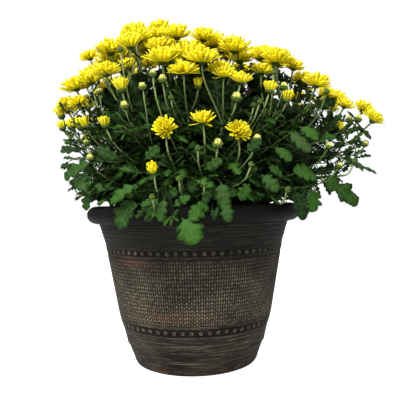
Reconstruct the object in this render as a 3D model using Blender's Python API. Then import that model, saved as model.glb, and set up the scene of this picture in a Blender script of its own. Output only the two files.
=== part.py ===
"""A garden chrysanthemum in a bronze-toned plastic flower pot.

Metres, +Z up, +X to the right, -Y to the front. The origin is the centre of the pot's flat underside,
which stands on the surface that carries the pot.

The plant is a bush of shoots that come out of the potting soil close together and spread into a dome.
A main shoot is two pieces: a leafy stem, and the spray of stalks and flower heads that it carries.
A side shoot leans out over the pot's rim and is one piece with its leaves and its flower or bud.
"""

import math
import random

import bmesh
import bpy
from mathutils import Vector
from mathutils.bvhtree import BVHTree

# Pot: a 10 inch planter with a curled lip
RIM_RADIUS = 0.127
LIP_ROLL = 0.010
LIP_CENTRE_Z = 0.1755
WALL = 0.0025
BASE_RADIUS = 0.0725
BASE_THICKNESS = 0.003
NECK_RADIUS, NECK_Z = 0.1138, 0.1676
UPPER_BAND_RADIUS, UPPER_BAND_Z = 0.1055, 0.1385
LOWER_BAND_RADIUS, LOWER_BAND_Z = 0.0908, 0.0556
HEEL_RADIUS, HEEL_Z = 0.0815, 0.024
POT_SIDES = 40
DRAIN_HOLES, DRAIN_HOLE_RADIUS, DRAIN_RING = 6, 0.0045, 0.046

# Potting soil
SOIL_GAP = 0.0003
SOIL_EDGE_Z, SOIL_MOUND = 0.158, 0.006
SOIL_SIDES = 28
SOIL_FACET_ALLOWANCE = 0.0004

# Flower dome: plan radii from its centre, and the height of its edge, on four sides
DOME_CENTRE_X = -0.010
DOME_TOP = 0.386
DOME_RIGHT, DOME_LEFT, DOME_BACK, DOME_FRONT = 0.216, 0.147, 0.155, 0.135
EDGE_Z_RIGHT, EDGE_Z_LEFT, EDGE_Z_BACK, EDGE_Z_FRONT = 0.286, 0.272, 0.280, 0.302
GOLDEN_ANGLE = math.pi * (3.0 - math.sqrt(5.0))

# Flower heads
SEED = 5
BLOSSOM_COUNT = 84
BLOSSOM_TURN = 0.6
BLOSSOM_RADIUS = (0.0135, 0.0165)
BLOSSOM_DEPTH = 0.0095
BLOSSOM_LIFT = (-0.011, 0.004)
HEAD_LEAN, HEAD_LEAN_POWER = 0.75, 1.5
FACE_DOMING, FACE_TOP_SHARE = 0.16, 0.55
CALYX_RADIUS, CALYX_DEPTH = 0.0038, 0.0045
HEAD_SIDES = 6
HEAD_CLEARANCE = 0.0016
RELAX_ROUNDS = 40

# Heads that stand out at the front and right of the dome: the middle of the face, and the radius
LANDMARK_HEADS = (
    ((-0.090, -0.091, 0.275), 0.0080),
    ((-0.071, -0.101, 0.308), 0.0110),
    ((-0.007, -0.121, 0.318), 0.0155),
    ((0.030, -0.116, 0.318), 0.0130),
    ((0.056, -0.122, 0.306), 0.0125),
    ((0.080, -0.111, 0.300), 0.0080),
    ((0.101, -0.086, 0.300), 0.0110),
    ((0.003, -0.086, 0.350), 0.0165),
    ((-0.126, -0.046, 0.282), 0.0100),
    ((0.204, -0.018, 0.299), 0.0130),
    ((0.210, -0.046, 0.284), 0.0120),
)

# Shoots
MAIN_SHOOTS = 23
SHOOT_TURN = 1.1
CROWN_RADIUS = 0.040
FOOT_DEPTH, FOOT_COLLAR = 0.014, 0.003
FOOT_HOLE_PLAY = 0.00064
STEM_RADIUS, STEM_TIP_RADIUS = 0.0021, 0.0015
STALK_RADIUS = 0.0009
NODE_SHARE = 0.62
STEM_BEND_SHARE, STEM_BEND_RISE = 0.45, 0.018
SPRAY_HUB_LENGTH, STALK_ROOT_RISE = 0.006, 0.0035
JOINT_GAP = 0.0003
STEM_SIDES = 6

# Leaves
LEAF_THICKNESS = 0.0011
PETIOLE_WIDTH = 0.0018
LEAF_LENGTHS = (0.040, 0.026)
LEAF_WIDTH_SHARE = 0.62
LEAF_TRIES = 26
LEAVES_PER_STEM = 3
LEAVES_PER_SIDE_SHOOT = 3
LEAF_CLEARANCE = 1.05

# Side shoots: where each one ends (x, y, z), and the radius of the flower or bud that ends it
SIDE_SHOOTS = (
    ((-0.036, -0.141, 0.215), 0.0075),
    ((-0.025, -0.120, 0.254), 0.0120),
    ((0.012, -0.124, 0.262), 0.0120),
    ((0.047, -0.121, 0.251), 0.0120),
    ((0.094, -0.117, 0.200), 0.0040),
    ((0.180, -0.062, 0.232), 0.0040),
    ((0.196, 0.040, 0.238), 0.0040),
    ((0.095, 0.138, 0.224), 0.0100),
    ((-0.020, 0.160, 0.226), 0.0040),
    ((-0.128, 0.085, 0.218), 0.0100),
    ((-0.136, -0.052, 0.214), 0.0040),
)
SIDE_FOOT_RADIUS = 0.056
SIDE_FOOT_START = math.radians(-125)
SIDE_FOOT_EVENNESS = 0.35
SIDE_BEND_SHARE, SIDE_BEND_RISE = 0.32, 0.052
SIDE_HEAD_LEAN = 0.9
SIDE_NECK_LENGTH, SIDE_NECK_OVERLAP = 0.022, 0.004

# Leaves that hang over the rim: side shoot, share of its length, then the tip (x, y, z) and the width
DRAPED_LEAVES = (
    (1, 0.52, (-0.006, -0.143, 0.153), 0.028),
    (0, 0.50, (-0.060, -0.128, 0.158), 0.024),
    (10, 0.62, (-0.150, -0.042, 0.176), 0.022),
    (5, 0.60, (0.168, -0.076, 0.180), 0.026),
    (6, 0.66, (0.186, 0.010, 0.186), 0.026),
    (7, 0.55, (0.075, 0.134, 0.166), 0.026),
    (9, 0.55, (-0.122, 0.088, 0.166), 0.026),
)

UP = Vector((0.0, 0.0, 1.0))


def clear_scene():
    """Remove whatever the file that this script starts from holds."""
    for thing in list(bpy.data.objects):
        bpy.data.objects.remove(thing, do_unlink=True)


def principled(name, color, roughness, metallic=0.0):
    """A plain Principled material."""
    material = bpy.data.materials.new(name)
    material.use_nodes = True
    shader = material.node_tree.nodes["Principled BSDF"]
    shader.inputs["Base Color"].default_value = (*color, 1.0)
    shader.inputs["Roughness"].default_value = roughness
    shader.inputs["Metallic"].default_value = metallic
    material.diffuse_color = (*color, 1.0)
    return material


def add_object(name, mesh, *materials):
    """An object in the scene's collection with the given mesh and materials."""
    for material in materials:
        mesh.materials.append(material)
    thing = bpy.data.objects.new(name, mesh)
    bpy.context.scene.collection.objects.link(thing)
    return thing


def arc(centre, radius, start_degrees, end_degrees, steps):
    """Points (r, z) along an arc, both ends included."""
    points = []
    for step in range(steps + 1):
        angle = math.radians(start_degrees + (end_degrees - start_degrees) * step / steps)
        points.append((centre[0] + radius * math.cos(angle), centre[1] + radius * math.sin(angle)))
    return points


def turned(name, profile, sides):
    """A closed solid of revolution from a profile (r, z) that starts and ends on the axis."""
    bm = bmesh.new()
    verts = [bm.verts.new((radius, 0.0, height)) for radius, height in profile]
    edges = [bm.edges.new(pair) for pair in zip(verts, verts[1:])]
    bmesh.ops.spin(bm, geom=verts + edges, cent=(0, 0, 0), axis=(0, 0, 1), angle=2 * math.pi,
                   steps=sides, use_merge=True)
    bmesh.ops.remove_doubles(bm, verts=bm.verts, dist=1e-6)
    bmesh.ops.recalc_face_normals(bm, faces=bm.faces)
    mesh = bpy.data.meshes.new(name)
    bm.to_mesh(mesh)
    bm.free()
    mesh.shade_smooth()
    mesh.set_sharp_from_angle(angle=math.radians(40))
    return mesh


def with_boolean(thing, other_mesh, operation):
    """Apply an exact Boolean of another mesh to an object, and drop that mesh."""
    other = add_object(thing.name + "_operand", other_mesh)
    for material in thing.data.materials:
        other.data.materials.append(material)
    modifier = thing.modifiers.new("boolean", "BOOLEAN")
    modifier.operation = operation
    modifier.solver = "EXACT"
    modifier.use_self = operation == "UNION"
    modifier.object = other
    bpy.context.view_layer.update()
    evaluated = thing.evaluated_get(bpy.context.evaluated_depsgraph_get())
    result = bpy.data.meshes.new_from_object(evaluated)
    thing.modifiers.clear()
    thing.data = result
    bpy.data.objects.remove(other, do_unlink=True)
    return thing


# Pot and soil


def body_profile(inset):
    """The pot's side, bottom to top, moved inward by inset."""
    side = ((BASE_RADIUS, 0.0), (HEEL_RADIUS, HEEL_Z), (LOWER_BAND_RADIUS, LOWER_BAND_Z),
            (UPPER_BAND_RADIUS, UPPER_BAND_Z), (NECK_RADIUS, NECK_Z))
    return [(radius - inset, height) for radius, height in side]


def build_pot(material):
    """A thin turned shell whose lip curls outward and down, with drain holes in its flat base."""
    lip = (RIM_RADIUS - LIP_ROLL, LIP_CENTRE_Z)
    outer = body_profile(0.0)
    inner = body_profile(WALL)
    profile = [(0.0, 0.0), (BASE_RADIUS - 0.002, 0.0), (BASE_RADIUS, 0.002)]
    profile += outer[1:]
    profile += arc(lip, LIP_ROLL - WALL, 105, -78, 5)
    profile += arc(lip, LIP_ROLL, -78, 125, 7)
    profile += list(reversed(inner[1:]))
    profile += [(BASE_RADIUS - WALL, BASE_THICKNESS), (0.0, BASE_THICKNESS)]
    pot = add_object("pot", turned("pot", profile, POT_SIDES), material)

    cutter = bmesh.new()
    for index in range(DRAIN_HOLES):
        angle = 2 * math.pi * (index + 0.5) / DRAIN_HOLES
        made = bmesh.ops.create_cone(cutter, cap_ends=True, segments=12, radius1=DRAIN_HOLE_RADIUS,
                                     radius2=DRAIN_HOLE_RADIUS, depth=4 * BASE_THICKNESS)
        offset = Vector((DRAIN_RING * math.cos(angle), DRAIN_RING * math.sin(angle), BASE_THICKNESS / 2))
        bmesh.ops.translate(cutter, verts=made["verts"], vec=offset)
    holes = bpy.data.meshes.new("drain_holes")
    cutter.to_mesh(holes)
    cutter.free()
    return with_boolean(pot, holes, "DIFFERENCE")


def soil_height(radius):
    """Height of the soil's gently mounded top at a distance from the axis."""
    share = min(1.0, radius / (UPPER_BAND_RADIUS - WALL))
    return SOIL_EDGE_Z + SOIL_MOUND * (1.0 - share * share)


def build_soil(material, feet):
    """The soil that fills the pot, with a hole for each stem's foot."""
    inner = body_profile(WALL + SOIL_GAP / math.cos(math.pi / SOIL_SIDES) + SOIL_FACET_ALLOWANCE)
    top_share = (SOIL_EDGE_Z - UPPER_BAND_Z) / (NECK_Z - UPPER_BAND_Z)
    edge_radius = inner[3][0] + (inner[4][0] - inner[3][0]) * top_share
    bottom = BASE_THICKNESS + SOIL_GAP
    profile = [(0.0, bottom), (inner[0][0], bottom)] + inner[1:4] + [(edge_radius, SOIL_EDGE_Z)]
    profile += [(edge_radius * share, soil_height(edge_radius * share)) for share in (0.8, 0.5)]
    profile.append((0.0, soil_height(0.0)))
    soil = add_object("potting_soil", turned("potting_soil", profile, SOIL_SIDES), material)

    cutter = bmesh.new()
    hole_radius = STEM_RADIUS + FOOT_HOLE_PLAY
    for foot in feet:
        low = foot.z - FOOT_DEPTH - JOINT_GAP
        high = foot.z + 2 * FOOT_COLLAR
        made = bmesh.ops.create_cone(cutter, cap_ends=True, segments=STEM_SIDES, depth=high - low,
                                     radius1=hole_radius, radius2=hole_radius)
        bmesh.ops.translate(cutter, verts=made["verts"], vec=(foot.x, foot.y, (low + high) / 2))
    holes = bpy.data.meshes.new("foot_holes")
    cutter.to_mesh(holes)
    cutter.free()
    return with_boolean(soil, holes, "DIFFERENCE")


# Places of the flower heads and shoots


def blend_sides(azimuth, right, left, back, front):
    """A value that goes smoothly round from side to side of the plant."""
    across, along = math.cos(azimuth), math.sin(azimuth)
    return across ** 2 * (right if across > 0 else left) + along ** 2 * (back if along > 0 else front)


def dome_radius(azimuth):
    """Plan radius of the flower dome's edge."""
    return blend_sides(azimuth, DOME_RIGHT ** -2, DOME_LEFT ** -2, DOME_BACK ** -2, DOME_FRONT ** -2) ** -0.5


def dome_point(rho, azimuth):
    """A point on the flower dome: rho is 0 at its centre and 1 at its edge."""
    radius = rho * dome_radius(azimuth)
    edge = blend_sides(azimuth, EDGE_Z_RIGHT, EDGE_Z_LEFT, EDGE_Z_BACK, EDGE_Z_FRONT)
    fullness = 2.4 - 0.5 * math.cos(azimuth)
    shoulder = 0.66 + 0.22 * math.cos(azimuth)
    height = edge + (DOME_TOP - edge) * max(0.0, 1.0 - rho ** fullness) ** shoulder
    return Vector((DOME_CENTRE_X + radius * math.cos(azimuth), radius * math.sin(azimuth), height))


class Blossom:
    """One flower head: the middle of its face, its radius, and whether it may be pushed aside."""

    def __init__(self, point, radius):
        self.point = Vector(point)
        self.radius = radius
        self.is_fixed = False

    @property
    def plan(self):
        """Where the head is in the dome's plan, as a vector that is 1 long at the dome's edge."""
        flat = Vector((self.point.x - DOME_CENTRE_X, self.point.y))
        return flat / dome_radius(math.atan2(flat.y, flat.x))

    @property
    def facing(self):
        """The way that the head faces: up, and more outward near the dome's edge."""
        plan = self.plan
        rho = min(plan.length, 1.0)
        outward = Vector((plan.x, plan.y, 0.0)).normalized()
        return (UP + outward * HEAD_LEAN * rho ** HEAD_LEAN_POWER).normalized()


def blossoms(rng):
    """The flower heads of the dome, spread evenly, moved to the landmarks and pushed clear."""
    heads = []
    for index in range(BLOSSOM_COUNT):
        rho = math.sqrt((index + 0.5) / BLOSSOM_COUNT)
        azimuth = index * GOLDEN_ANGLE + BLOSSOM_TURN
        lift = UP * rng.uniform(*BLOSSOM_LIFT)
        heads.append(Blossom(dome_point(rho, azimuth) + lift, rng.uniform(*BLOSSOM_RADIUS)))
    for point, radius in LANDMARK_HEADS:
        loose = [head for head in heads if not head.is_fixed]
        nearest = min(loose, key=lambda head: (head.point - Vector(point)).length)
        nearest.point, nearest.radius, nearest.is_fixed = Vector(point), radius, True
    for _ in range(RELAX_ROUNDS):
        for index, head in enumerate(heads):
            for other in heads[:index]:
                push_apart(head, other)
    return heads


def push_apart(head, other):
    """Move two heads that are too close away from each other, unless a landmark holds them."""
    apart = head.point - other.point
    short = head.radius + other.radius + HEAD_CLEARANCE - apart.length
    if short <= 0 or (head.is_fixed and other.is_fixed):
        return
    step = apart.normalized() * short * (0.5 if not head.is_fixed and not other.is_fixed else 1.0)
    if not head.is_fixed:
        head.point += step
    if not other.is_fixed:
        other.point -= step


def shoot_plan(index):
    """Where main shoot number index belongs in the dome's plan."""
    rho = 0.93 * math.sqrt((index + 0.5) / MAIN_SHOOTS)
    azimuth = index * GOLDEN_ANGLE + SHOOT_TURN
    return Vector((rho * math.cos(azimuth), rho * math.sin(azimuth)))


def heads_by_shoot(heads):
    """The heads that each main shoot carries: each head goes to the nearest shoot in plan."""
    groups = [[] for _ in range(MAIN_SHOOTS)]
    for head in heads:
        nearest = min(range(MAIN_SHOOTS), key=lambda index: (shoot_plan(index) - head.plan).length)
        groups[nearest].append(head)
    return groups


def foot_at(direction, radius):
    """The point on the soil where a shoot comes up."""
    flat = Vector((direction.x, direction.y, 0.0)).normalized() * radius
    flat.z = soil_height(radius)
    return flat


def bezier(start, control, end, share):
    """A point on a quadratic curve."""
    rest = 1.0 - share
    return start * rest * rest + control * 2 * rest * share + end * share * share


def stem_path(foot, control, end, steps):
    """Points from the bottom of the foot in the soil, up its collar and along a curve to the end."""
    collar = foot + UP * FOOT_COLLAR
    path = [foot - UP * FOOT_DEPTH]
    path += [bezier(collar, control, end, step / steps) for step in range(steps + 1)]
    return path


# Closed shells of the plant's parts, as (vertices, faces, material index)


def tube(path, radii, sides, material_index=0):
    """A closed tube along a path, with flat ends."""
    verts, faces = [], []
    side_way = Vector((1.0, 0.0, 0.0))
    for index, point in enumerate(path):
        before, after = path[max(index - 1, 0)], path[min(index + 1, len(path) - 1)]
        along = (after - before).normalized()
        side_way = (side_way - along * side_way.dot(along)).normalized()
        other_way = along.cross(side_way)
        for side in range(sides):
            angle = 2 * math.pi * side / sides
            verts.append(point + (side_way * math.cos(angle) + other_way * math.sin(angle)) * radii[index])
    for ring in range(len(path) - 1):
        for side in range(sides):
            a, b = ring * sides + side, ring * sides + (side + 1) % sides
            faces.append((a, b, b + sides, a + sides))
    faces.append(tuple(reversed(range(sides))))
    faces.append(tuple(range(len(verts) - sides, len(verts))))
    return verts, faces, material_index


def head_shell(point, facing, radius, root):
    """A stalk from root that swells into the calyx and opens into the flower head."""
    neck = point - facing * (BLOSSOM_DEPTH + CALYX_DEPTH) * (radius / BLOSSOM_RADIUS[0]) ** 0.5
    calyx = neck + facing * CALYX_DEPTH
    path = [root, neck, calyx, point, point + facing * radius * FACE_DOMING]
    radii = [STALK_RADIUS, STALK_RADIUS, min(CALYX_RADIUS, radius * 0.9), radius, radius * FACE_TOP_SHARE]
    return tube(path, radii, HEAD_SIDES, 1)


def leaf_shell(root, direction, up_way, length, width, petiole_share=0.3, is_lobed=True):
    """A flat leaf on its petiole, as one thin closed plate. A small upper leaf has no side lobes."""
    along = direction.normalized()
    across = along.cross(up_way).normalized()
    normal = across.cross(along)
    half = PETIOLE_WIDTH / 2
    blade = 1.0 - petiole_share
    right_side = [(0.0, half), (petiole_share, half)]
    if is_lobed:
        right_side += [(petiole_share + 0.18 * blade, 0.42 * width),
                       (petiole_share + 0.48 * blade, 0.27 * width),
                       (petiole_share + 0.66 * blade, 0.40 * width)]
    else:
        right_side.append((petiole_share + 0.45 * blade, 0.42 * width))
    outline = [(share * length, side) for share, side in right_side] + [(length, 0.0)]
    outline += [(share * length, -side) for share, side in reversed(right_side)]
    count = len(outline)
    verts = []
    for level in (-LEAF_THICKNESS / 2, LEAF_THICKNESS / 2):
        verts += [root + along * out + across * side + normal * level for out, side in outline]
    faces = [tuple(range(count)), tuple(reversed(range(count, 2 * count)))]
    for index in range(count):
        nearby = (index + 1) % count
        faces.append((nearby, index, index + count, nearby + count))
    return verts, faces, 0


def shell_mesh(name, shells):
    """One mesh that holds several shells."""
    bm = bmesh.new()
    for verts, faces, material_index in shells:
        made = [bm.verts.new(vert) for vert in verts]
        for face in faces:
            bm.faces.new([made[corner] for corner in face]).material_index = material_index
    bmesh.ops.recalc_face_normals(bm, faces=bm.faces)
    mesh = bpy.data.meshes.new(name)
    bm.to_mesh(mesh)
    bm.free()
    return mesh


def grown_piece(name, shells, *materials):
    """The union of shells that grow out of each other, the first one being the stem."""
    thing = add_object(name, shell_mesh(name, shells[:1]), *materials)
    if len(shells) > 1:
        with_boolean(thing, shell_mesh(name + "_rest", shells[1:]), "UNION")
    return thing


def tree_of(shells):
    """A search tree over the faces of some shells."""
    verts, faces = [], []
    for shell_verts, shell_faces, _ in shells:
        offset = len(verts)
        verts += shell_verts
        faces += [tuple(corner + offset for corner in face) for face in shell_faces]
    return BVHTree.FromPolygons(verts, faces)


def swollen(shell, root):
    """A shell enlarged a little about its root, to keep clearance round it."""
    verts, faces, material_index = shell
    return [root + (vert - root) * LEAF_CLEARANCE for vert in verts], faces, material_index


class Plant:
    """The shells of every shoot, and the obstacles that a new leaf has to miss."""

    def __init__(self, pot_tree):
        self.shoots = {}
        self.paths = {}
        self.obstacles = {"pot": pot_tree}

    def add_shoot(self, name, shells, path):
        self.shoots[name] = shells
        self.paths[name] = path
        self.obstacles[name] = tree_of(shells)

    def is_clear(self, name, root, leaf):
        """Whether a leaf misses the other pieces and its own stem's other leaves and flower."""
        tree = tree_of([swollen(leaf, root)])
        own = self.shoots[name][1:]
        if own and tree.overlap(tree_of(own)):
            return False
        return not any(tree.overlap(other) for owner, other in self.obstacles.items() if owner != name)

    def add_leaf(self, name, leaf):
        self.shoots[name].append(leaf)
        self.obstacles[name] = tree_of(self.shoots[name])

    def point_on(self, name, share):
        """A point on the part of a shoot's path that is above the soil, and the way it runs there."""
        path = self.paths[name][1:]
        place = share * (len(path) - 1)
        index = min(int(place), len(path) - 2)
        return path[index].lerp(path[index + 1], place - index), (path[index + 1] - path[index]).normalized()

    def grow_leaves(self, name, count, span, lengths, is_lobed, rng):
        """Set leaves up a stem at the golden angle, each turned or shortened until it is clear."""
        turn = rng.uniform(0, 2 * math.pi)
        for index in range(count):
            share = span[0] + (span[1] - span[0]) * (index + 0.5) / count
            root, along = self.point_on(name, share)
            full = lengths[0] + (lengths[1] - lengths[0]) * share
            for attempt in range(LEAF_TRIES):
                angle = turn + GOLDEN_ANGLE * (index + attempt)
                length = full * (1.0 - 0.5 * attempt / LEAF_TRIES)
                outward = Vector((math.cos(angle), math.sin(angle), 0.0))
                rise = rng.uniform(0.1, 0.9)
                direction = (outward + along * rise).normalized()
                width = length * LEAF_WIDTH_SHARE
                leaf = leaf_shell(root, direction, along, length, width, is_lobed=is_lobed)
                if direction.z > -0.2 and self.is_clear(name, root, leaf):
                    self.add_leaf(name, leaf)
                    break

    def drape_leaf(self, name, share, tip, width):
        """Hang a leaf from a shoot to a tip outside the rim."""
        root, _ = self.point_on(name, share)
        reach = Vector(tip) - root
        outward = Vector((reach.x, reach.y, 0.0)).normalized()
        leaf = leaf_shell(root, reach, outward, reach.length, width, 0.36)
        if self.is_clear(name, root, leaf):
            self.add_leaf(name, leaf)


def add_main_shoots(plant, groups):
    """Stems and sprays of the main shoots. Returns the feet."""
    feet = []
    for index, heads in enumerate(groups):
        plan = shoot_plan(index)
        foot = foot_at(plan, CROWN_RADIUS * plan.length)
        middle = sum((head.point for head in heads), Vector()) / len(heads)
        node = foot.lerp(middle, NODE_SHARE)
        control = foot.lerp(node, STEM_BEND_SHARE) + UP * STEM_BEND_RISE
        path = stem_path(foot, control, node, 4)
        along = (node - path[-2]).normalized()
        path[-1] = node - along * JOINT_GAP
        radii = [STEM_RADIUS, STEM_RADIUS] + [STEM_RADIUS + (STEM_TIP_RADIUS - STEM_RADIUS) * step / 4
                                              for step in range(1, 5)]
        plant.add_shoot(f"leafy_stem_{index + 1:02d}", [tube(path, radii, STEM_SIDES)], path)
        hub_top = node + along * SPRAY_HUB_LENGTH
        hub = tube([node, hub_top], [STEM_TIP_RADIUS, STEM_TIP_RADIUS * 0.9], STEM_SIDES, 0)
        root = node + along * STALK_ROOT_RISE
        spray = [hub] + [head_shell(head.point, head.facing, head.radius, root) for head in heads]
        plant.add_shoot(f"flower_spray_{index + 1:02d}", spray, [node, hub_top])
        feet.append(foot)
    return feet


def side_foot(index, end):
    """The foot of a side shoot: below its end, but shifted to keep its distance on the ring of feet."""
    own = math.atan2(end.y, end.x)
    even = SIDE_FOOT_START + 2 * math.pi * index / len(SIDE_SHOOTS)
    own += 2 * math.pi * round((even - own) / (2 * math.pi))
    azimuth = own + (even - own) * SIDE_FOOT_EVENNESS
    return foot_at(Vector((math.cos(azimuth), math.sin(azimuth), 0.0)), SIDE_FOOT_RADIUS)


def add_side_shoots(plant):
    """Shoots that lean out over the rim, each with a flower or a bud at its end. Returns the feet."""
    feet = []
    for index, (end, radius) in enumerate(SIDE_SHOOTS):
        end = Vector(end)
        foot = side_foot(index, end)
        control = foot.lerp(end, SIDE_BEND_SHARE)
        control.z = foot.z + SIDE_BEND_RISE
        facing = (UP + (end - control).normalized() * SIDE_HEAD_LEAN).normalized()
        neck = end - facing * SIDE_NECK_LENGTH
        path = stem_path(foot, control, neck, 5)
        radii = [STEM_RADIUS, STEM_RADIUS] + [STEM_RADIUS * (1.0 - 0.11 * step) for step in range(1, 6)]
        head_root = path[-1] - (path[-1] - path[-2]).normalized() * SIDE_NECK_OVERLAP
        head = head_shell(end, facing, radius, head_root)
        plant.add_shoot(f"side_shoot_{index + 1:02d}", [tube(path, radii, STEM_SIDES), head], path)
        feet.append(foot)
    return feet


def main():
    clear_scene()
    rng = random.Random(SEED)
    pot_material = principled("bronze_plastic", (0.030, 0.025, 0.021), 0.5, 0.3)
    soil_material = principled("potting_mix", (0.022, 0.014, 0.009), 0.95)
    green = principled("leaf_green", (0.045, 0.110, 0.030), 0.55)
    yellow = principled("petal_yellow", (0.900, 0.660, 0.010), 0.5)

    pot = build_pot(pot_material)
    pot_tree = BVHTree.FromPolygons([vert.co for vert in pot.data.vertices],
                                    [tuple(face.vertices) for face in pot.data.polygons])
    plant = Plant(pot_tree)
    feet = add_main_shoots(plant, heads_by_shoot(blossoms(rng)))
    feet += add_side_shoots(plant)
    build_soil(soil_material, feet)

    for shoot, share, tip, width in DRAPED_LEAVES:
        plant.drape_leaf(f"side_shoot_{shoot + 1:02d}", share, tip, width)
    for index in range(MAIN_SHOOTS):
        plant.grow_leaves(f"leafy_stem_{index + 1:02d}", LEAVES_PER_STEM, (0.35, 0.97), LEAF_LENGTHS,
                          False, rng)
    for index in range(len(SIDE_SHOOTS)):
        plant.grow_leaves(f"side_shoot_{index + 1:02d}", LEAVES_PER_SIDE_SHOOT, (0.35, 0.85), LEAF_LENGTHS,
                          True, rng)

    for name, shells in plant.shoots.items():
        grown_piece(name, shells, green, yellow)


main()
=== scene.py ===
"""The looks of a pot of yellow garden chrysanthemums in a dark, bronze-toned plastic planter.

Metres, +Z up, -Y to the front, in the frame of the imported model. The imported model's shoots and flower heads
come from a plan, which this script repeats, so that each finished shoot grows just where its solid stands.
"""

import logging
import math
import random
from collections.abc import Sequence
from dataclasses import dataclass, field
from enum import Enum
from typing import Any

import bmesh
import bpy
import numpy as np
from mathutils import Matrix, Vector


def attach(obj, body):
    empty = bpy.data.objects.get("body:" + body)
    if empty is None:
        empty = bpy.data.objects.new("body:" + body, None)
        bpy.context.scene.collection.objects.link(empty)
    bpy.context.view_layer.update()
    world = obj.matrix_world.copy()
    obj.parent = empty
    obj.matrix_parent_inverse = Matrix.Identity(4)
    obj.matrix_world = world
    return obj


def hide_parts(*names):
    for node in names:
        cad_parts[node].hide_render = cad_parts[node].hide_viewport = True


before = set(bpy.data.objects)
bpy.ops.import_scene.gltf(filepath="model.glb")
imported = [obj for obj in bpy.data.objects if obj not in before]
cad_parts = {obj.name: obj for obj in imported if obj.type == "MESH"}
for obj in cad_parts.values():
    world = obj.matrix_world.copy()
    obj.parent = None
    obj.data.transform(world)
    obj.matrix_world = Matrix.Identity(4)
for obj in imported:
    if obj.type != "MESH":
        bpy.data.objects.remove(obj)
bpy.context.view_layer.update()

UP = Vector((0.0, 0.0, 1.0))
GOLDEN_ANGLE = math.pi * (3.0 - math.sqrt(5.0))
MM = 0.001
Array = np.ndarray
Material = bpy.types.Material
Piece = bpy.types.Object
Socket = bpy.types.NodeSocket
Value = Socket | float
# The named values that the meshes carry for their finishes
PLANTER_VALUES = ("relief", "plain", "rust", "wear")
GREEN_VALUES = ("run", "across", "tone", "face")
PETAL_VALUES = ("run", "across", "tone")
log = logging.getLogger("chrysanthemum")


def linear(hex_code: str) -> tuple[float, float, float, float]:
    """Turn an sRGB colour into linear light.

    Args:
        hex_code: Six hex digits, such as "ffe21a".

    Returns:
        Red, green, blue and an alpha of 1.
    """
    parts = [int(hex_code[place:place + 2], 16) / 255 for place in (0, 2, 4)]
    light = [part / 12.92 if part <= 0.04045 else ((part + 0.055) / 1.055) ** 2.4 for part in parts]
    return (*light, 1.0)


def connect(tree: bpy.types.NodeTree, node: bpy.types.Node, inputs: dict[str | int, Any]) -> None:
    """Give a node its inputs.

    Args:
        tree: The node tree.
        node: The node.
        inputs: For each input, by name or number, a value or the socket that is linked to it.
    """
    for key, value in inputs.items():
        if isinstance(value, Socket):
            tree.links.new(value, node.inputs[key])
        else:
            node.inputs[key].default_value = value


def add_node(tree: bpy.types.NodeTree, kind: str, settings: dict[str, Any] | None = None,
             inputs: dict[str | int, Any] | None = None) -> bpy.types.Node:
    """Add a node.

    Args:
        tree: The node tree that gets the node.
        kind: The node's type.
        settings: Properties of the node.
        inputs: Its inputs, as connect takes them.

    Returns:
        The new node.
    """
    node = tree.nodes.new(kind)
    for name, value in (settings or {}).items():
        setattr(node, name, value)
    connect(tree, node, inputs or {})
    return node


def put(name: str, data: bpy.types.ID) -> Piece:
    """Put a new object with this data in the scene.

    Args:
        name: The object's name.
        data: Its mesh, light or camera.

    Returns:
        The new object.
    """
    thing = bpy.data.objects.new(name, data)
    bpy.context.scene.collection.objects.link(thing)
    return thing


def dress(piece: Piece, node: str = "") -> Piece:
    """Let a piece ride on the root and, where a node is named, stand for that solid.

    Args:
        piece: The piece.
        node: Name of the solid, if there is one.

    Returns:
        The same piece.
    """
    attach(piece, "root")
    if node:
        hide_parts(node)
    return piece


def as_array(numbers: Vector | Sequence[float]) -> Array:
    """The numbers as an array of floats."""
    return np.array(numbers, float)


def in_metres(row: Sequence[Any]) -> tuple[Vector, float]:
    """A point and a radius in metres from the first four numbers of a row in mm."""
    x, y, z, radius = (number / 1000 for number in row[:4])
    return Vector((x, y, z)), radius


def unit(vectors: Array) -> Array:
    """Vectors of length 1 that point the way the given ones do."""
    return vectors / np.maximum(np.linalg.norm(vectors, axis=-1, keepdims=True), 1e-12)


def smooth(low: float, high: float, value: Array | float) -> Array:
    """A smooth step from 0 at low to 1 at high."""
    share = np.clip((np.asarray(value, float) - low) / (high - low), 0.0, 1.0)
    return share * share * (3.0 - 2.0 * share)


def frame_of(facing: Vector) -> tuple[Array, Array, Array]:
    """Three axes of which the last one is the given way.

    Args:
        facing: A unit vector.

    Returns:
        Two unit vectors square to it and the vector itself, right-handed.
    """
    hint = Vector((1.0, 0.0, 0.0)) if abs(facing.x) < 0.9 else UP
    first = facing.cross(hint).normalized()
    second = facing.cross(first)
    return np.array(first), np.array(second), np.array(facing)


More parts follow.
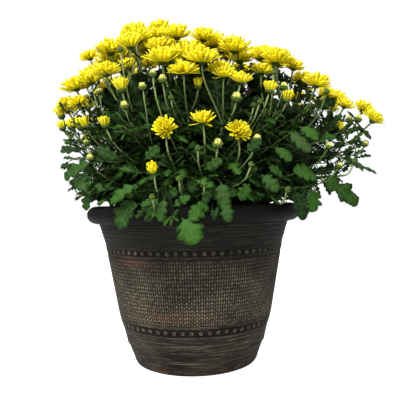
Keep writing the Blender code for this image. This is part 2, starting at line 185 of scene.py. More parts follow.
@dataclass
class Sketch:
    """The mesh of one piece, gathered part by part, with the named values that its finishes read."""

    value_names: tuple[str, ...]
    points: list[Array] = field(default_factory=list)
    faces: list[tuple[Array, int]] = field(default_factory=list)
    values: dict[str, list[Array]] = field(default_factory=dict)
    count: int = 0

    def add_grids(self, grids: Array, finish: int = 0, is_capped: bool = True, **values: Array | float) -> None:
        """Add one or more grids of quads, in which the last column joins the first one.

        Args:
            grids: Points, as copies by rows by columns by 3. Columns run round the way that the rows go.
            finish: Number of the finish in the piece's list.
            is_capped: Whether the first and last rows are closed with a face.
            values: For each value name, numbers that fit the grid. A name left out is 0.
        """
        copies, rows, columns = grids.shape[:3]
        index = self.count + np.arange(copies * rows * columns).reshape(copies, rows, columns)
        onward = np.roll(index, -1, axis=2)
        quads = np.stack([index[:, :-1], onward[:, :-1], onward[:, 1:], index[:, 1:]], axis=-1)
        self.faces.append((quads.reshape(-1, 4), finish))
        if is_capped:
            self.faces.append((index[:, 0, ::-1], finish))
            self.faces.append((index[:, -1, :], finish))
        self.points.append(grids.reshape(-1, 3))
        for name in self.value_names:
            spread = np.broadcast_to(values.get(name, 0.0), (copies, rows, columns))
            self.values.setdefault(name, []).append(spread.reshape(-1).astype(np.float32))
        self.count += copies * rows * columns

    def build(self, name: str, finishes: Sequence[Material]) -> Piece:
        """Make the piece.

        Args:
            name: The piece's name.
            finishes: Its materials, in the order that the finish numbers count.

        Returns:
            The new object, in the scene.
        """
        mesh = bpy.data.meshes.new(name)
        corners = np.concatenate([faces.reshape(-1) for faces, _ in self.faces]).astype(np.int32)
        sizes = np.concatenate([np.full(len(faces), faces.shape[1]) for faces, _ in self.faces])
        slots = np.concatenate([np.full(len(faces), finish) for faces, finish in self.faces])
        starts = np.concatenate([[0], np.cumsum(sizes)[:-1]]).astype(np.int32)
        mesh.vertices.add(self.count)
        mesh.vertices.foreach_set("co", np.concatenate(self.points).astype(np.float32).reshape(-1))
        mesh.loops.add(len(corners))
        mesh.loops.foreach_set("vertex_index", corners)
        mesh.polygons.add(len(sizes))
        mesh.polygons.foreach_set("loop_start", starts)
        mesh.polygons.foreach_set("material_index", slots.astype(np.int32))
        mesh.update(calc_edges=True)
        for value_name in self.value_names:
            layer = mesh.attributes.new(value_name, "FLOAT", "POINT")
            layer.data.foreach_set("value", np.concatenate(self.values[value_name]))
        for finish in finishes:
            mesh.materials.append(finish)
        mesh.validate()
        mesh.shade_smooth()
        return put(name, mesh)


def bezier(start: Array, control: Array, end: Array, share: Array) -> Array:
    """Points on a quadratic curve, one for each share of its length."""
    share = np.asarray(share)[..., None]
    return start * (1 - share) ** 2 + control * 2 * share * (1 - share) + end * share ** 2


def around(count: int, shift: Array | float = 0.0) -> Array:
    """Angles evenly round a circle, shifted by a share of their spacing."""
    return (np.arange(count) + shift) * 2 * math.pi / count


def heading(angle: float, z: float = 0.0) -> Vector:
    """A vector that is 1 long in plan at this angle, with this height."""
    return Vector((math.cos(angle), math.sin(angle), z))


def spokes(angles: Array, axes: Sequence[Array]) -> Array:
    """Unit vectors at these angles from the first of two axes to the second."""
    return np.cos(angles)[:, None] * axes[0] + np.sin(angles)[:, None] * axes[1]


def turned(side: Array, normal: Array, angle: Array | float) -> tuple[Array, Array]:
    """Two axes turned about the third one."""
    return side * np.cos(angle) + normal * np.sin(angle), normal * np.cos(angle) - side * np.sin(angle)


def lathe(radii: Array, heights: Array, columns: int) -> Array:
    """A grid of one copy round the pot's axis.

    Args:
        radii: Radius of each row.
        heights: Height of each row, or of each point.
        columns: How many points go round.

    Returns:
        The grid.
    """
    turn = around(columns)
    heights = np.broadcast_to(heights if np.ndim(heights) > 1 else heights[:, None], (len(radii), columns))
    return np.stack([radii[:, None] * np.cos(turn), radii[:, None] * np.sin(turn), heights], axis=-1)[None]


def point_on(path: Array, share: float) -> tuple[Array, Array]:
    """The point at a share of a path's rows, and the way that the path goes there.

    Args:
        path: Rows of 3.
        share: From 0 at the first row to 1 at the last.

    Returns:
        The point and a unit vector.
    """
    place = share * (len(path) - 1)
    low = min(int(place), len(path) - 2)
    step = path[low + 1] - path[low]
    return path[low] + step * (place - low), unit(step)


def tube_grid(path: Array, radii: Array, sides: int) -> Array:
    """The wall of a tube along a path.

    Args:
        path: Its centre line, as rows of 3.
        radii: Its radius at each row.
        sides: How many columns go round.

    Returns:
        A grid of one copy, with its columns running round the way the path goes.
    """
    along = unit(np.gradient(path, axis=0))
    side_way = np.array([1.0, 0.0, 0.0]) if abs(along[0][0]) < 0.9 else np.array([0.0, 1.0, 0.0])
    rings = []
    for point, way, radius in zip(path, along, radii):
        side_way = unit(side_way - way * (side_way @ way))
        rings.append(point + radius * spokes(around(sides), (side_way, np.cross(way, side_way))))
    return np.array(rings)[None]


# The plan of the plant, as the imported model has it


@dataclass(frozen=True)
class PlantPlan:
    """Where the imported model's shoots stand and its flower heads sit."""

    seed: int = 5
    blossom_count: int = 84
    blossom_turn: float = 0.6
    blossom_radius: tuple[float, float] = (0.0135, 0.0165)
    blossom_lift: tuple[float, float] = (-0.011, 0.004)
    blossom_depth: float = 0.0095
    calyx_depth: float = 0.0045
    head_clearance: float = 0.0016
    head_lean: tuple[float, float] = (0.75, 1.5)
    relax_rounds: int = 40
    dome_centre_x: float = -0.010
    dome_top: float = 0.386
    dome_sides: tuple[float, float, float, float] = (0.216, 0.147, 0.155, 0.135)
    edge_heights: tuple[float, float, float, float] = (0.286, 0.272, 0.280, 0.302)
    main_shoots: int = 23
    shoot_turn: float = 1.1
    crown_radius: float = 0.040
    node_share: float = 0.62
    foot_depth: float = 0.014
    foot_collar: float = 0.003
    soil_edge: tuple[float, float] = (0.103, 0.158)
    soil_mound: float = 0.006
    # Heads at known places and the ends of the side shoots, with their radii, in mm
    landmark_heads: tuple[tuple[float, ...], ...] = (
        (-90, -91, 275, 8), (-71, -101, 308, 11), (-7, -121, 318, 15.5), (30, -116, 318, 13),
        (56, -122, 306, 12.5), (80, -111, 300, 8), (101, -86, 300, 11), (3, -86, 350, 16.5), (-126, -46, 282, 10),
        (204, -18, 299, 13), (210, -46, 284, 12))
    side_shoots: tuple[tuple[float, ...], ...] = (
        (-36, -141, 215, 7.5), (-25, -120, 254, 12), (12, -124, 262, 12), (47, -121, 251, 12), (94, -117, 200, 4),
        (180, -62, 232, 4), (196, 40, 238, 4), (95, 138, 224, 10), (-20, 160, 226, 4), (-128, 85, 218, 10),
        (-136, -52, 214, 4))
    side_foot_radius: float = 0.056
    side_foot_start: float = math.radians(-125)
    side_foot_evenness: float = 0.35

    def soil_height(self, radius: float) -> float:
        """Height of the soil's mounded top at a distance from the axis."""
        share = min(1.0, radius / self.soil_edge[0])
        return self.soil_edge[1] + self.soil_mound * (1.0 - share * share)

    @staticmethod
    def blend_sides(azimuth: float, sides: Sequence[float]) -> float:
        """A value that goes smoothly round the right, left, back and front of the plant.

        Args:
            azimuth: Where round the plant.
            sides: The right, left, back and front value.

        Returns:
            The value there.
        """
        right, left, back, front = sides
        across, along = math.cos(azimuth), math.sin(azimuth)
        return across ** 2 * (right if across > 0 else left) + along ** 2 * (back if along > 0 else front)

    def dome_radius(self, azimuth: float) -> float:
        """Plan radius of the flower dome's edge."""
        return self.blend_sides(azimuth, [side ** -2 for side in self.dome_sides]) ** -0.5

    def dome_point(self, rho: float, azimuth: float) -> Vector:
        """A point on the flower dome, whose centre has rho 0 and whose edge has rho 1.

        Args:
            rho: Share of the way out from the centre.
            azimuth: Where round the plant.

        Returns:
            The point.
        """
        radius = rho * self.dome_radius(azimuth)
        edge = self.blend_sides(azimuth, self.edge_heights)
        fullness = 2.4 - 0.5 * math.cos(azimuth)
        shoulder = 0.66 + 0.22 * math.cos(azimuth)
        height = edge + (self.dome_top - edge) * max(0.0, 1.0 - rho ** fullness) ** shoulder
        return Vector((self.dome_centre_x + radius * math.cos(azimuth), radius * math.sin(azimuth), height))

    def place_in_dome(self, point: Vector) -> Vector:
        """A point's place in the dome's plan, as a vector that is 1 long at the dome's edge."""
        flat = Vector((point.x - self.dome_centre_x, point.y))
        return flat / self.dome_radius(math.atan2(flat.y, flat.x))

    def facing(self, point: Vector) -> Vector:
        """The way that a head there faces: up, and more outward near the dome's edge.

        Args:
            point: Where the head sits.

        Returns:
            A unit vector.
        """
        place = self.place_in_dome(point)
        outward = Vector((place.x, place.y, 0.0)).normalized()
        lean = self.head_lean[0] * min(place.length, 1.0) ** self.head_lean[1]
        return (UP + outward * lean).normalized()

    def heads(self) -> list[tuple[Vector, float]]:
        """The dome's flower heads.

        Returns:
            The middle of each head's face and its radius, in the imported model's order.
        """
        rng = random.Random(self.seed)
        heads = []
        for index in range(self.blossom_count):
            rho = math.sqrt((index + 0.5) / self.blossom_count)
            azimuth = index * GOLDEN_ANGLE + self.blossom_turn
            lift = UP * rng.uniform(*self.blossom_lift)
            heads.append([self.dome_point(rho, azimuth) + lift, rng.uniform(*self.blossom_radius), False])
        for point, radius in map(in_metres, self.landmark_heads):
            loose = [head for head in heads if not head[2]]
            nearest = min(loose, key=lambda head: (head[0] - point).length)
            nearest[:] = [point, radius, True]
        for _ in range(self.relax_rounds):
            for index, head in enumerate(heads):
                for other in heads[:index]:
                    self.push_apart(head, other)
        return [(point, radius) for point, radius, _ in heads]

    def push_apart(self, head: list, other: list) -> None:
        """Move two heads that are too close away from each other, unless a landmark holds them.

        Args:
            head: A head's point, its radius and whether a landmark holds it.
            other: The other head, likewise.
        """
        apart = head[0] - other[0]
        short = head[1] + other[1] + self.head_clearance - apart.length
        if short <= 0 or (head[2] and other[2]):
            return
        step = apart.normalized() * short * (0.5 if not head[2] and not other[2] else 1.0)
        if not head[2]:
            head[0] += step
        if not other[2]:
            other[0] -= step

    def shoot_plan(self, index: int) -> Vector:
        """Where a main shoot belongs in the dome's plan.

        Args:
            index: The shoot's number, from 0.

        Returns:
            Its place, 1 long at the dome's edge.
        """
        rho = 0.93 * math.sqrt((index + 0.5) / self.main_shoots)
        azimuth = index * GOLDEN_ANGLE + self.shoot_turn
        return Vector((rho * math.cos(azimuth), rho * math.sin(azimuth)))

    def foot_at(self, way: Vector, radius: float) -> Vector:
        """The point on the soil where a shoot comes up.

        Args:
            way: Where the shoot leans, seen from the axis.
            radius: The foot's distance from the axis.

        Returns:
            The foot.
        """
        flat = Vector((way.x, way.y, 0.0)).normalized() * radius
        flat.z = self.soil_height(radius)
        return flat

    def side_foot(self, index: int, end: Vector) -> Vector:
        """The foot of a side shoot, which keeps its distance on the ring of feet.

        Args:
            index: The side shoot's number, from 0.
            end: Where it ends.

        Returns:
            The foot.
        """
        own = math.atan2(end.y, end.x)
        even = self.side_foot_start + 2 * math.pi * index / len(self.side_shoots)
        own += 2 * math.pi * round((even - own) / (2 * math.pi))
        return self.foot_at(heading(own + (even - own) * self.side_foot_evenness), self.side_foot_radius)


PLAN = PlantPlan()


# Finishes


class Wiring:
    """The node material of one finish while it is wired. Each method but finish gives a new node's output."""

    def __init__(self, name: str) -> None:
        """Start with a plain shader.

        Args:
            name: The material's name.
        """
        self.material = bpy.data.materials.new(name)
        self.material.use_nodes = True
        self.tree = self.material.node_tree

    def node(self, kind: str, output: str | int, settings: dict[str, Any] | None = None,
             inputs: dict[str | int, Any] | None = None) -> Socket:
        """Any node's output."""
        return add_node(self.tree, "ShaderNode" + kind, settings, inputs).outputs[output]

    def values(self, *names: str) -> list[Socket]:
        """Values that the mesh carries under these names."""
        return [self.node("Attribute", "Fac", {"attribute_name": name}) for name in names]

    def noise(self, size: float, detail: float, roughness: float = 0.5,
              scale: tuple[float, float, float] | None = None) -> Socket:
        """Noise whose clouds have this size, in a space that may be scaled first.

        Args:
            size: Size of a cloud in metres.
            detail: How many finer layers it has.
            roughness: How strong the finer layers are.
            scale: The scale of the space, if not 1.

        Returns:
            The noise, from 0 to 1.
        """
        place = self.node("TexCoord", "Object")
        if scale:
            place = self.node("Mapping", 0, {}, {"Vector": place, "Scale": scale})
        return self.node("TexNoise", "Fac", {}, {
            "Vector": place, "Scale": 1 / size, "Detail": detail, "Roughness": roughness})

    def math(self, operation: str, *terms: Value, clamps: bool = False) -> Socket:
        """The result of a sum."""
        return self.node("Math", 0, {"operation": operation, "use_clamp": clamps}, dict(enumerate(terms)))

    def span(self, value: Value, low: float = 0.0, high: float = 1.0, to_low: float = 0.0, to_high: float = 1.0,
             eases: bool = False) -> Socket:
        """The value taken from one range to another and held inside it."""
        return self.node("MapRange", 0, {"interpolation_type": "SMOOTHSTEP" if eases else "LINEAR"}, {
            "Value": value, "From Min": low, "From Max": high, "To Min": to_low, "To Max": to_high})

    def mix(self, share: Value, *colours: Socket | str) -> Socket:
        """A mix of two colours, each a socket or a hex code."""
        first, second = (linear(colour) if isinstance(colour, str) else colour for colour in colours)
        return self.node("Mix", "Result", {"data_type": "RGBA"}, {"Factor": share, "A": first, "B": second})

    def ramp(self, value: Socket, *stops: tuple[float, str]) -> Socket:
        """A colour from a ramp whose stops are given in order.

        Args:
            value: Where on the ramp.
            stops: Each stop's place and its colour as six hex digits.

        Returns:
            The colour.
        """
        ramp = add_node(self.tree, "ShaderNodeValToRGB", {}, {"Fac": value})
        elements = ramp.color_ramp.elements
        for number, (place, colour) in enumerate((stops[0], stops[-1])):
            elements[number].position, elements[number].color = place, linear(colour)
        for place, colour in stops[1:-1]:
            elements.new(place).color = linear(colour)
        return ramp.outputs["Color"]

    def bump(self, height: Socket, strength: float, distance: float, inverts: bool = False) -> Socket:
        """A normal that follows a fine relief."""
        return self.node("Bump", "Normal", {"invert": inverts}, {
            "Height": height, "Strength": strength, "Distance": distance})

    def finish(self, inputs: dict[str | int, Any]) -> Material:
        """Connect the shader and give the material."""
        connect(self.tree, self.tree.nodes["Principled BSDF"], inputs)
        return self.material


@dataclass(frozen=True)
class RubbedBronzePlastic:
    """Injection-moulded polypropylene with a dark coat and a dry-brushed tan on what stands proud.

    The eye sees a nearly black brown that turns olive and rusty in patches, with tan dashes where the brush
    met the relief, thin level streaks where the wall is plain, and a dull, slightly waxy gloss. Painted shade
    darkens the grooves of the relief, and the wall and the lip under the plant.
    """

    name: str = "moulded_polypropylene_dry_brushed_bronze"
    # Painted shade: the coat's colour under the lip and on the lip, where the plant shades the pot
    shaded: str = "0a0a08"
    dark: str = "110f0d"
    olive: str = "2a2720"
    rust: str = "4a281e"
    tan: str = "ab9c80"
    patch_size: float = 42 * MM
    streak_length: float = 34 * MM
    streak_height: float = 1.0 * MM
    speck_size: float = 2.4 * MM
    roughness: tuple[float, float] = (0.50, 0.72)
    specular: float = 0.14

    def material(self) -> Material:
        """The finish as a node material.

        Returns:
            The material.
        """
        wiring = Wiring(self.name)
        relief, plain, rust, wear = wiring.values(*PLANTER_VALUES)
        patches = wiring.noise(self.patch_size, 4.0, 0.6)
        specks = wiring.noise(self.speck_size, 2.0)
        level = 1 / self.streak_length
        streaks = wiring.noise(1.0, 5.0, 0.7, (level, level, 1 / self.streak_height))
        # Painted shade: where the wall is least brushed and lit, under the lip, the coat takes the shaded colour
        body = wiring.mix(wear, self.shaded, wiring.ramp(patches, (0.36, self.dark), (0.62, self.olive)))
        # Painted shade: the coat darkens where the wall stands least proud, in the grooves of the weave and round the
        # rings and lines
        groove_shade = wiring.span(wiring.math("ADD", relief, plain), 0.1, 0.5, 0.05)
        body = wiring.node("VectorMath", 0, {"operation": "SCALE"}, {0: body, "Scale": groove_shade})
        rust = wiring.math("MULTIPLY", wiring.math("MULTIPLY_ADD", streaks, 1.6, -0.35, clamps=True), rust)
        touched = wiring.span(relief, 0.64, 1.04, eases=True)
        brushed = wiring.math("MULTIPLY", touched, wiring.span(patches, 0.36, 0.60, 0.36, 0.72))
        brushed = wiring.math("MULTIPLY", brushed, wiring.span(specks, 0.42, 0.60, 0.2))
        lines = wiring.math("MULTIPLY", wiring.span(streaks, 0.50, 0.72, 0.0, 0.45, eases=True), plain)
        # The tan dashes fade under the lip too: partly less brushing, partly painted shade
        tan_share = wiring.math("MULTIPLY", wiring.math("MAXIMUM", brushed, lines), wear)
        return wiring.finish({
            "Base Color": wiring.mix(tan_share, wiring.mix(rust, body, self.rust), self.tan),
            "Roughness": wiring.span(specks, 0.0, 1.0, *self.roughness),
            "Normal": wiring.bump(streaks, 0.35, 0.4 * MM), "IOR": 1.49, "Specular IOR Level": self.specular})


@dataclass(frozen=True)
class CharcoalPlastic:
    """The same polypropylene as moulded, with no brushing: charcoal grey with a faint orange-peel gloss."""

    name: str = "moulded_polypropylene_charcoal"
    dark: str = "151413"
    light: str = "262422"
    cloud_size: float = 26 * MM
    peel_size: float = 3.0 * MM
    roughness: tuple[float, float] = (0.40, 0.58)

    def material(self) -> Material:
        """The finish as a node material.

        Returns:
            The material.
        """
        wiring = Wiring(self.name)
        clouds, peel = wiring.noise(self.cloud_size, 5.0, 0.65), wiring.noise(self.peel_size, 2.0)
        return wiring.finish({
            "Base Color": wiring.mix(clouds, self.dark, self.light),
            "Roughness": wiring.span(clouds, 0.0, 1.0, *self.roughness),
            "Normal": wiring.bump(peel, 0.3, 0.3 * MM), "IOR": 1.49, "Specular IOR Level": 0.3})


@dataclass(frozen=True)
class PeatMix:
    """Moist peat potting mix: nearly black crumbs with brown fibre, and no gloss."""

    name: str = "potting_mix_peat"
    wet: str = "1d140d"
    fibre: str = "4a3626"
    crumb_size: float = 3.5 * MM

    def material(self) -> Material:
        """The finish as a node material.

        Returns:
            The material.
        """
        wiring = Wiring(self.name)
        crumbs = wiring.noise(self.crumb_size, 6.0, 0.7)
        return wiring.finish({
            "Base Color": wiring.mix(wiring.span(crumbs, 0.35, 0.72), self.wet, self.fibre),
            "Roughness": 0.95, "Normal": wiring.bump(crumbs, 0.8, 1.2 * MM)})


@dataclass(frozen=True)
class ChrysanthemumLeaf:
    """A living, slightly downy leaf: deep green above with paler veins, sage green below, soft sheen."""

    name: str = "chrysanthemum_leaf"
    deep: str = "0b1c06"
    fresh: str = "2c5414"
    vein: str = "4a6a2c"
    under: str = "3a4c28"
    vein_spacing: float = 0.28
    first_vein: float = 0.171
    mottle_size: float = 7 * MM

    def material(self) -> Material:
        """The finish as a node material.

        Returns:
            The material.
        """
        wiring = Wiring(self.name)
        run, across, tone, face = wiring.values(*GREEN_VALUES)
        share = wiring.math("MULTIPLY_ADD", wiring.noise(self.mottle_size, 3.0), 0.5, -0.25)
        blade = wiring.mix(wiring.math("ADD", share, tone, clamps=True), self.deep, self.fresh)
        wave = wiring.math("SUBTRACT", run, self.first_vein)
        wave = wiring.math("PINGPONG", wave, 0.5 * self.vein_spacing)
        veins = wiring.math("MAXIMUM", wiring.span(across, 0.0, 0.09, 1.0, 0.0, eases=True),
                            wiring.span(wave, 0.0, 0.035, 0.75, 0.0, eases=True))
        upper = wiring.mix(wiring.math("MULTIPLY", veins, 0.4), blade, self.vein)
        lower = wiring.mix(0.62, blade, self.under)
        return wiring.finish({
            "Base Color": wiring.mix(wiring.span(face, 0.3, 0.7, eases=True), lower, upper),
            "Roughness": 0.55, "Normal": wiring.bump(veins, 0.45, 0.5 * MM, inverts=True),
            "IOR": 1.42, "Specular IOR Level": 0.16})


@dataclass(frozen=True)
class YoungStem:
    """A green stem with fine grey down, which makes it paler and duller than the leaves."""

    name: str = "chrysanthemum_stem"
    green: str = "3a5320"
    down: str = "80905a"
    streak_size: float = 1.6 * MM

    def material(self) -> Material:
        """The finish as a node material.

        Returns:
            The material.
        """
        wiring = Wiring(self.name)
        streaks = wiring.noise(self.streak_size, 2.0, scale=(1.0, 1.0, 0.15))
        share = wiring.math("MULTIPLY", streaks, *wiring.values("tone"))
        return wiring.finish({
            "Base Color": wiring.mix(wiring.math("MULTIPLY", share, 2.4, clamps=True), self.green, self.down),
            "Roughness": 0.6, "Normal": wiring.bump(streaks, 0.4, 0.3 * MM), "Specular IOR Level": 0.15})


@dataclass(frozen=True)
class Petal:
    """A ray floret: clear lemon yellow at its tip, warmer at its base, with fine lines along it."""

    name: str = "chrysanthemum_ray_floret"
    base: str = "dcbc00"
    body: str = "ecd800"
    tip: str = "f0e022"
    # A deeper yellow: painted shade that a head's inner rings take more of, and also random tone and the fine lines
    shade: str = "ccb000"
    line_spacing: float = 0.28

    def material(self) -> Material:
        """The finish as a node material.

        Returns:
            The material.
        """
        wiring = Wiring(self.name)
        run, across, tone = wiring.values(*PETAL_VALUES)
        lines = wiring.math("PINGPONG", across, self.line_spacing)
        lines = wiring.span(lines, 0.0, self.line_spacing, 0.12, 0.0)
        share = wiring.math("MULTIPLY_ADD", tone, 0.20, lines, clamps=True)
        colour = wiring.ramp(run, (0.0, self.base), (0.42, self.body), (1.0, self.tip))
        return wiring.finish({
            "Base Color": wiring.mix(share, colour, self.shade), "Roughness": 0.5, "IOR": 1.38,
            "Subsurface Weight": 0.45, "Subsurface Radius": (1.0, 0.7, 0.1), "Subsurface Scale": 2.5 * MM})


@dataclass(frozen=True)
class BudScales:
    """The green scales that hold a flower head: matt, mid green, yellower at the edge of each scale."""

    name: str = "chrysanthemum_bud_scale"
    green: str = "38531f"
    pale: str = "8fa04e"

    def material(self) -> Material:
        """The finish as a node material.

        Returns:
            The material.
        """
        wiring = Wiring(self.name)
        run, tone = wiring.values("run", "tone")
        share = wiring.math("MULTIPLY", wiring.span(run, 0.35, 1.0, 0.0, 0.8), tone)
        return wiring.finish({"Base Color": wiring.mix(share, self.green, self.pale),
                              "Roughness": 0.62, "Specular IOR Level": 0.15})


# The planter


def eased(heights: Sequence[float], radii: Sequence[float], at: Array, ease: float) -> Array:
    """A profile of straight runs whose corners are eased.

    Args:
        heights: Heights of the corners, rising.
        radii: Radius at each corner.
        at: Heights to read the profile at.
        ease: How far from a corner its easing reaches.

    Returns:
        The radius at each of those heights.
    """
    offsets = (-ease, -0.5 * ease, 0.0, 0.5 * ease, ease)
    return sum(np.interp(np.asarray(at, float) + offset, heights, radii) for offset in offsets) / len(offsets)


@dataclass
class Planter:
    """A thin-walled plastic planter with a rolled lip, two bands of little rings and a woven middle."""

    heights: tuple[float, ...] = (0.0, 0.024, 0.0556, 0.1385, 0.1676)
    radii: tuple[float, ...] = (0.0725, 0.0815, 0.0908, 0.1055, 0.1138)
    heel_ledge: float = 0.8 * MM
    heel_fade: float = 22 * MM
    corner_ease: float = 2.5 * MM
    wall: float = 2.5 * MM
    base_thickness: float = 3.0 * MM
    lip_centre: tuple[float, float] = (0.117, 0.1755)
    lip_roll: float = 10.0 * MM
    drain_holes: int = 6
    drain_hole_radius: float = 4.5 * MM
    drain_ring: float = 46.0 * MM
    skin: float = 0.15 * MM
    weave_span: tuple[float, float] = (0.0585, 0.1295)
    weave_columns: int = 232
    weave_row: float = 3.9 * MM
    weave_height: float = 0.55 * MM
    line_heights: tuple[float, ...] = (0.0458, 0.0560, 0.1318, 0.1392)
    line_width: float = 0.75 * MM
    line_height: float = 0.5 * MM
    rib_heights: tuple[float, ...] = (0.0036, 0.0255, 0.1500, 0.1545, 0.1585, 0.1612, 0.1640)
    # Height of each row of rings, how many it has, and half the height of its band
    ring_rows: tuple[tuple[float, int, float], ...] = ((0.0509, 60, 5.5 * MM), (0.1355, 70, 4.0 * MM))
    ring_radius: float = 1.55 * MM
    ring_bead: float = 0.72 * MM
    plain_columns: int = 160
    lip_columns: int = 180
    hidden_columns: int = 96
    # Degrees to the right of the front, mm up, width in degrees, height in mm, and how rusty
    rust_spots: tuple[tuple[float, ...], ...] = (
        (-41, 125, 16, 5, 0.9), (-14, 67, 26, 6, 0.8), (-34, 4, 14, 4, 1.0), (20, 3, 22, 3, 0.7),
        (48, 95, 12, 6, 0.35), (112, 118, 20, 7, 0.8), (165, 66, 28, 6, 0.7), (-112, 78, 22, 6, 0.7),
        (-150, 122, 16, 5, 0.6), (130, 5, 30, 4, 0.8))

    def side_radius(self, heights: Array) -> Array:
        """Radius of the plain wall's outside at each height.

        Args:
            heights: Heights over the ground.

        Returns:
            The radii.
        """
        radius = eased(self.heights, self.radii, heights, self.corner_ease) + self.skin
        above_heel = smooth(0.0, 1.0 * MM, heights - self.heights[1])
        return radius + self.heel_ledge * above_heel * smooth(self.heel_fade, 0.0, heights - self.heights[1])

    def relief_lines(self, heights: Array) -> Array:
        """How far the raised lines and ribs stand out at each height, from 0 to 1.

        Args:
            heights: Heights over the ground.

        Returns:
            The shares.
        """
        total = np.zeros_like(heights)
        for centres, width, crest in ((self.line_heights, 0.55, 1.0), (self.rib_heights, 0.8, 0.8)):
            for centre in centres:
                ridge = crest * np.exp(-((heights - centre) / (width * self.line_width)) ** 2)
                total = np.maximum(total, ridge)
        return total

    def weave(self, column: Array, heights: Array) -> Array:
        """How far the woven dashes stand out, from 0 to 1.

        Args:
            column: Place round the pot, counted in dashes.
            heights: Height of each point.

        Returns:
            The relief at each point.
        """
        ridge = np.where(np.abs(column % 1.0 - 0.5) < 0.34, 1.0, 0.0)
        row = (heights - self.weave_span[0]) / self.weave_row + 0.22 * (np.floor(column + 1e-6) % 2)
        dash = smooth(0.06, 0.30, 0.5 - np.abs(row % 1.0 - 0.5))
        low, high = self.weave_span
        edge = smooth(0.0, 1.2 * MM, heights - low) * smooth(0.0, 1.2 * MM, high - heights)
        return ridge * (0.60 + 0.40 * dash) * edge

    def rust(self, angle: Array, heights: Array) -> Array:
        """How rusty the wall is at each point.

        Args:
            angle: Angle of each point round the axis.
            heights: Its height over the ground.

        Returns:
            How rusty, from 0 up.
        """
        total = np.zeros_like(heights)
        for right, rise, width, height, share in self.rust_spots:
            turn = (np.degrees(angle) + 90 - right + 180) % 360 - 180
            spot = np.exp(-(turn / width) ** 2 - ((heights / MM - rise) / height) ** 2)
            total = np.maximum(total, share * spot)
        return total

    def wear(self, heights: Array) -> Array:
        """How much brushing and painted light the wall has at each height: least under the lip, in painted shade."""
        return 0.25 + 0.75 * smooth(0.150, 0.085, heights)

    def strip(self, sketch: Sketch, heights: Array, columns: int, is_woven: bool) -> None:
        """Add one band of the wall's outside.

        Args:
            sketch: The wall's mesh.
            heights: Heights of the band's rows, rising.
            columns: How many points go round.
            is_woven: Whether the band holds the woven dashes.
        """
        rise, turn = np.meshgrid(heights, np.arange(columns) / columns, indexing="ij")
        lines = self.relief_lines(rise)
        relief = lines
        out = lines * self.line_height
        if is_woven:
            dashes = self.weave(turn * self.weave_columns, rise)
            relief = np.maximum(lines, dashes)
            out = out + dashes * self.weave_height
        radius = self.side_radius(rise) + out
        angle = turn * 2 * math.pi
        grid = np.stack([radius * np.cos(angle), radius * np.sin(angle), rise], axis=-1)[None]
        is_band = np.any([np.abs(rise - height) < reach for height, _, reach in self.ring_rows], axis=0)
        # Plain is low on the weave and the bands, where the finish paints shade between the raised parts
        plain = np.where(is_woven, 0.25, np.where(is_band, 0.15, 1.0))
        sketch.add_grids(grid, is_capped=False, relief=relief[None], plain=plain[None],
                         rust=self.rust(angle, rise)[None], wear=self.wear(rise)[None])

    def build_wall(self, finish: Material) -> Piece:
        """The wall's outside, from the foot to the neck, with its relief.

        Args:
            finish: The piece's material.

        Returns:
            The new piece.
        """
        sketch = Sketch(PLANTER_VALUES)
        low, high = self.weave_span
        foot = np.concatenate([[0.0, 0.0006, 0.0016], np.linspace(0.0030, 0.0435, 54), np.linspace(0.0442, low, 30)])
        self.strip(sketch, foot, self.plain_columns, False)
        radius = self.side_radius(np.array([0.0]))[0]
        for row, inset in enumerate((1.6 * MM, 0.6 * MM)):
            rim = slice(row * self.plain_columns, (row + 1) * self.plain_columns)
            sketch.points[0][rim, :2] *= (radius - inset) / radius
        rows = int(round((high - low) / self.weave_row * 3))
        self.strip(sketch, np.linspace(low, high, rows + 1), self.weave_columns * 3, True)
        top = np.concatenate([np.linspace(high, 0.1415, 28), np.linspace(0.1425, self.heights[-1], 50)])
        self.strip(sketch, top, self.plain_columns, False)
        self.add_rings(sketch)
        return sketch.build("pot_wall", [finish])

    def add_rings(self, sketch: Sketch) -> None:
        """Set the little raised rings in their two bands.

        Args:
            sketch: The mesh that gets them.
        """
        circle, over = around(12), np.linspace(0.0, math.pi, 5)
        axis = np.array([0.0, 0.0, 1.0])
        reach = self.ring_radius + self.ring_bead * np.cos(over)
        lift = 0.85 * self.ring_bead * np.sin(over) - 0.05 * MM
        for height, count, _ in self.ring_rows:
            below, radius, above = self.side_radius(np.array([height - MM, height, height + MM]))
            tilt = math.atan2(above - below, 2 * MM)
            turn = around(count, 0.5)
            out, side = (spokes(turn + quarter, np.eye(3)[:2]) for quarter in (0.0, math.pi / 2))
            up, normal = (out * math.sin(tilt) + axis * math.cos(tilt), out * math.cos(tilt) - axis * math.sin(tilt))
            centre = out * radius + axis * height
            flat = reach[:, None, None] * (np.cos(circle)[:, None] * side[:, None, None]
                                           + np.sin(circle)[:, None] * up[:, None, None])
            grid = centre[:, None, None] + flat + lift[:, None, None] * normal[:, None, None]
            crest = np.sin(over)[None, :, None] ** 0.7
            # The rings' feet get painted shade from their low relief; the upper row, under the lip, is painted darker
            # and less brushed
            sketch.add_grids(grid, is_capped=False, relief=crest, plain=0.2, wear=1.0 if height < 0.1 else 0.75)

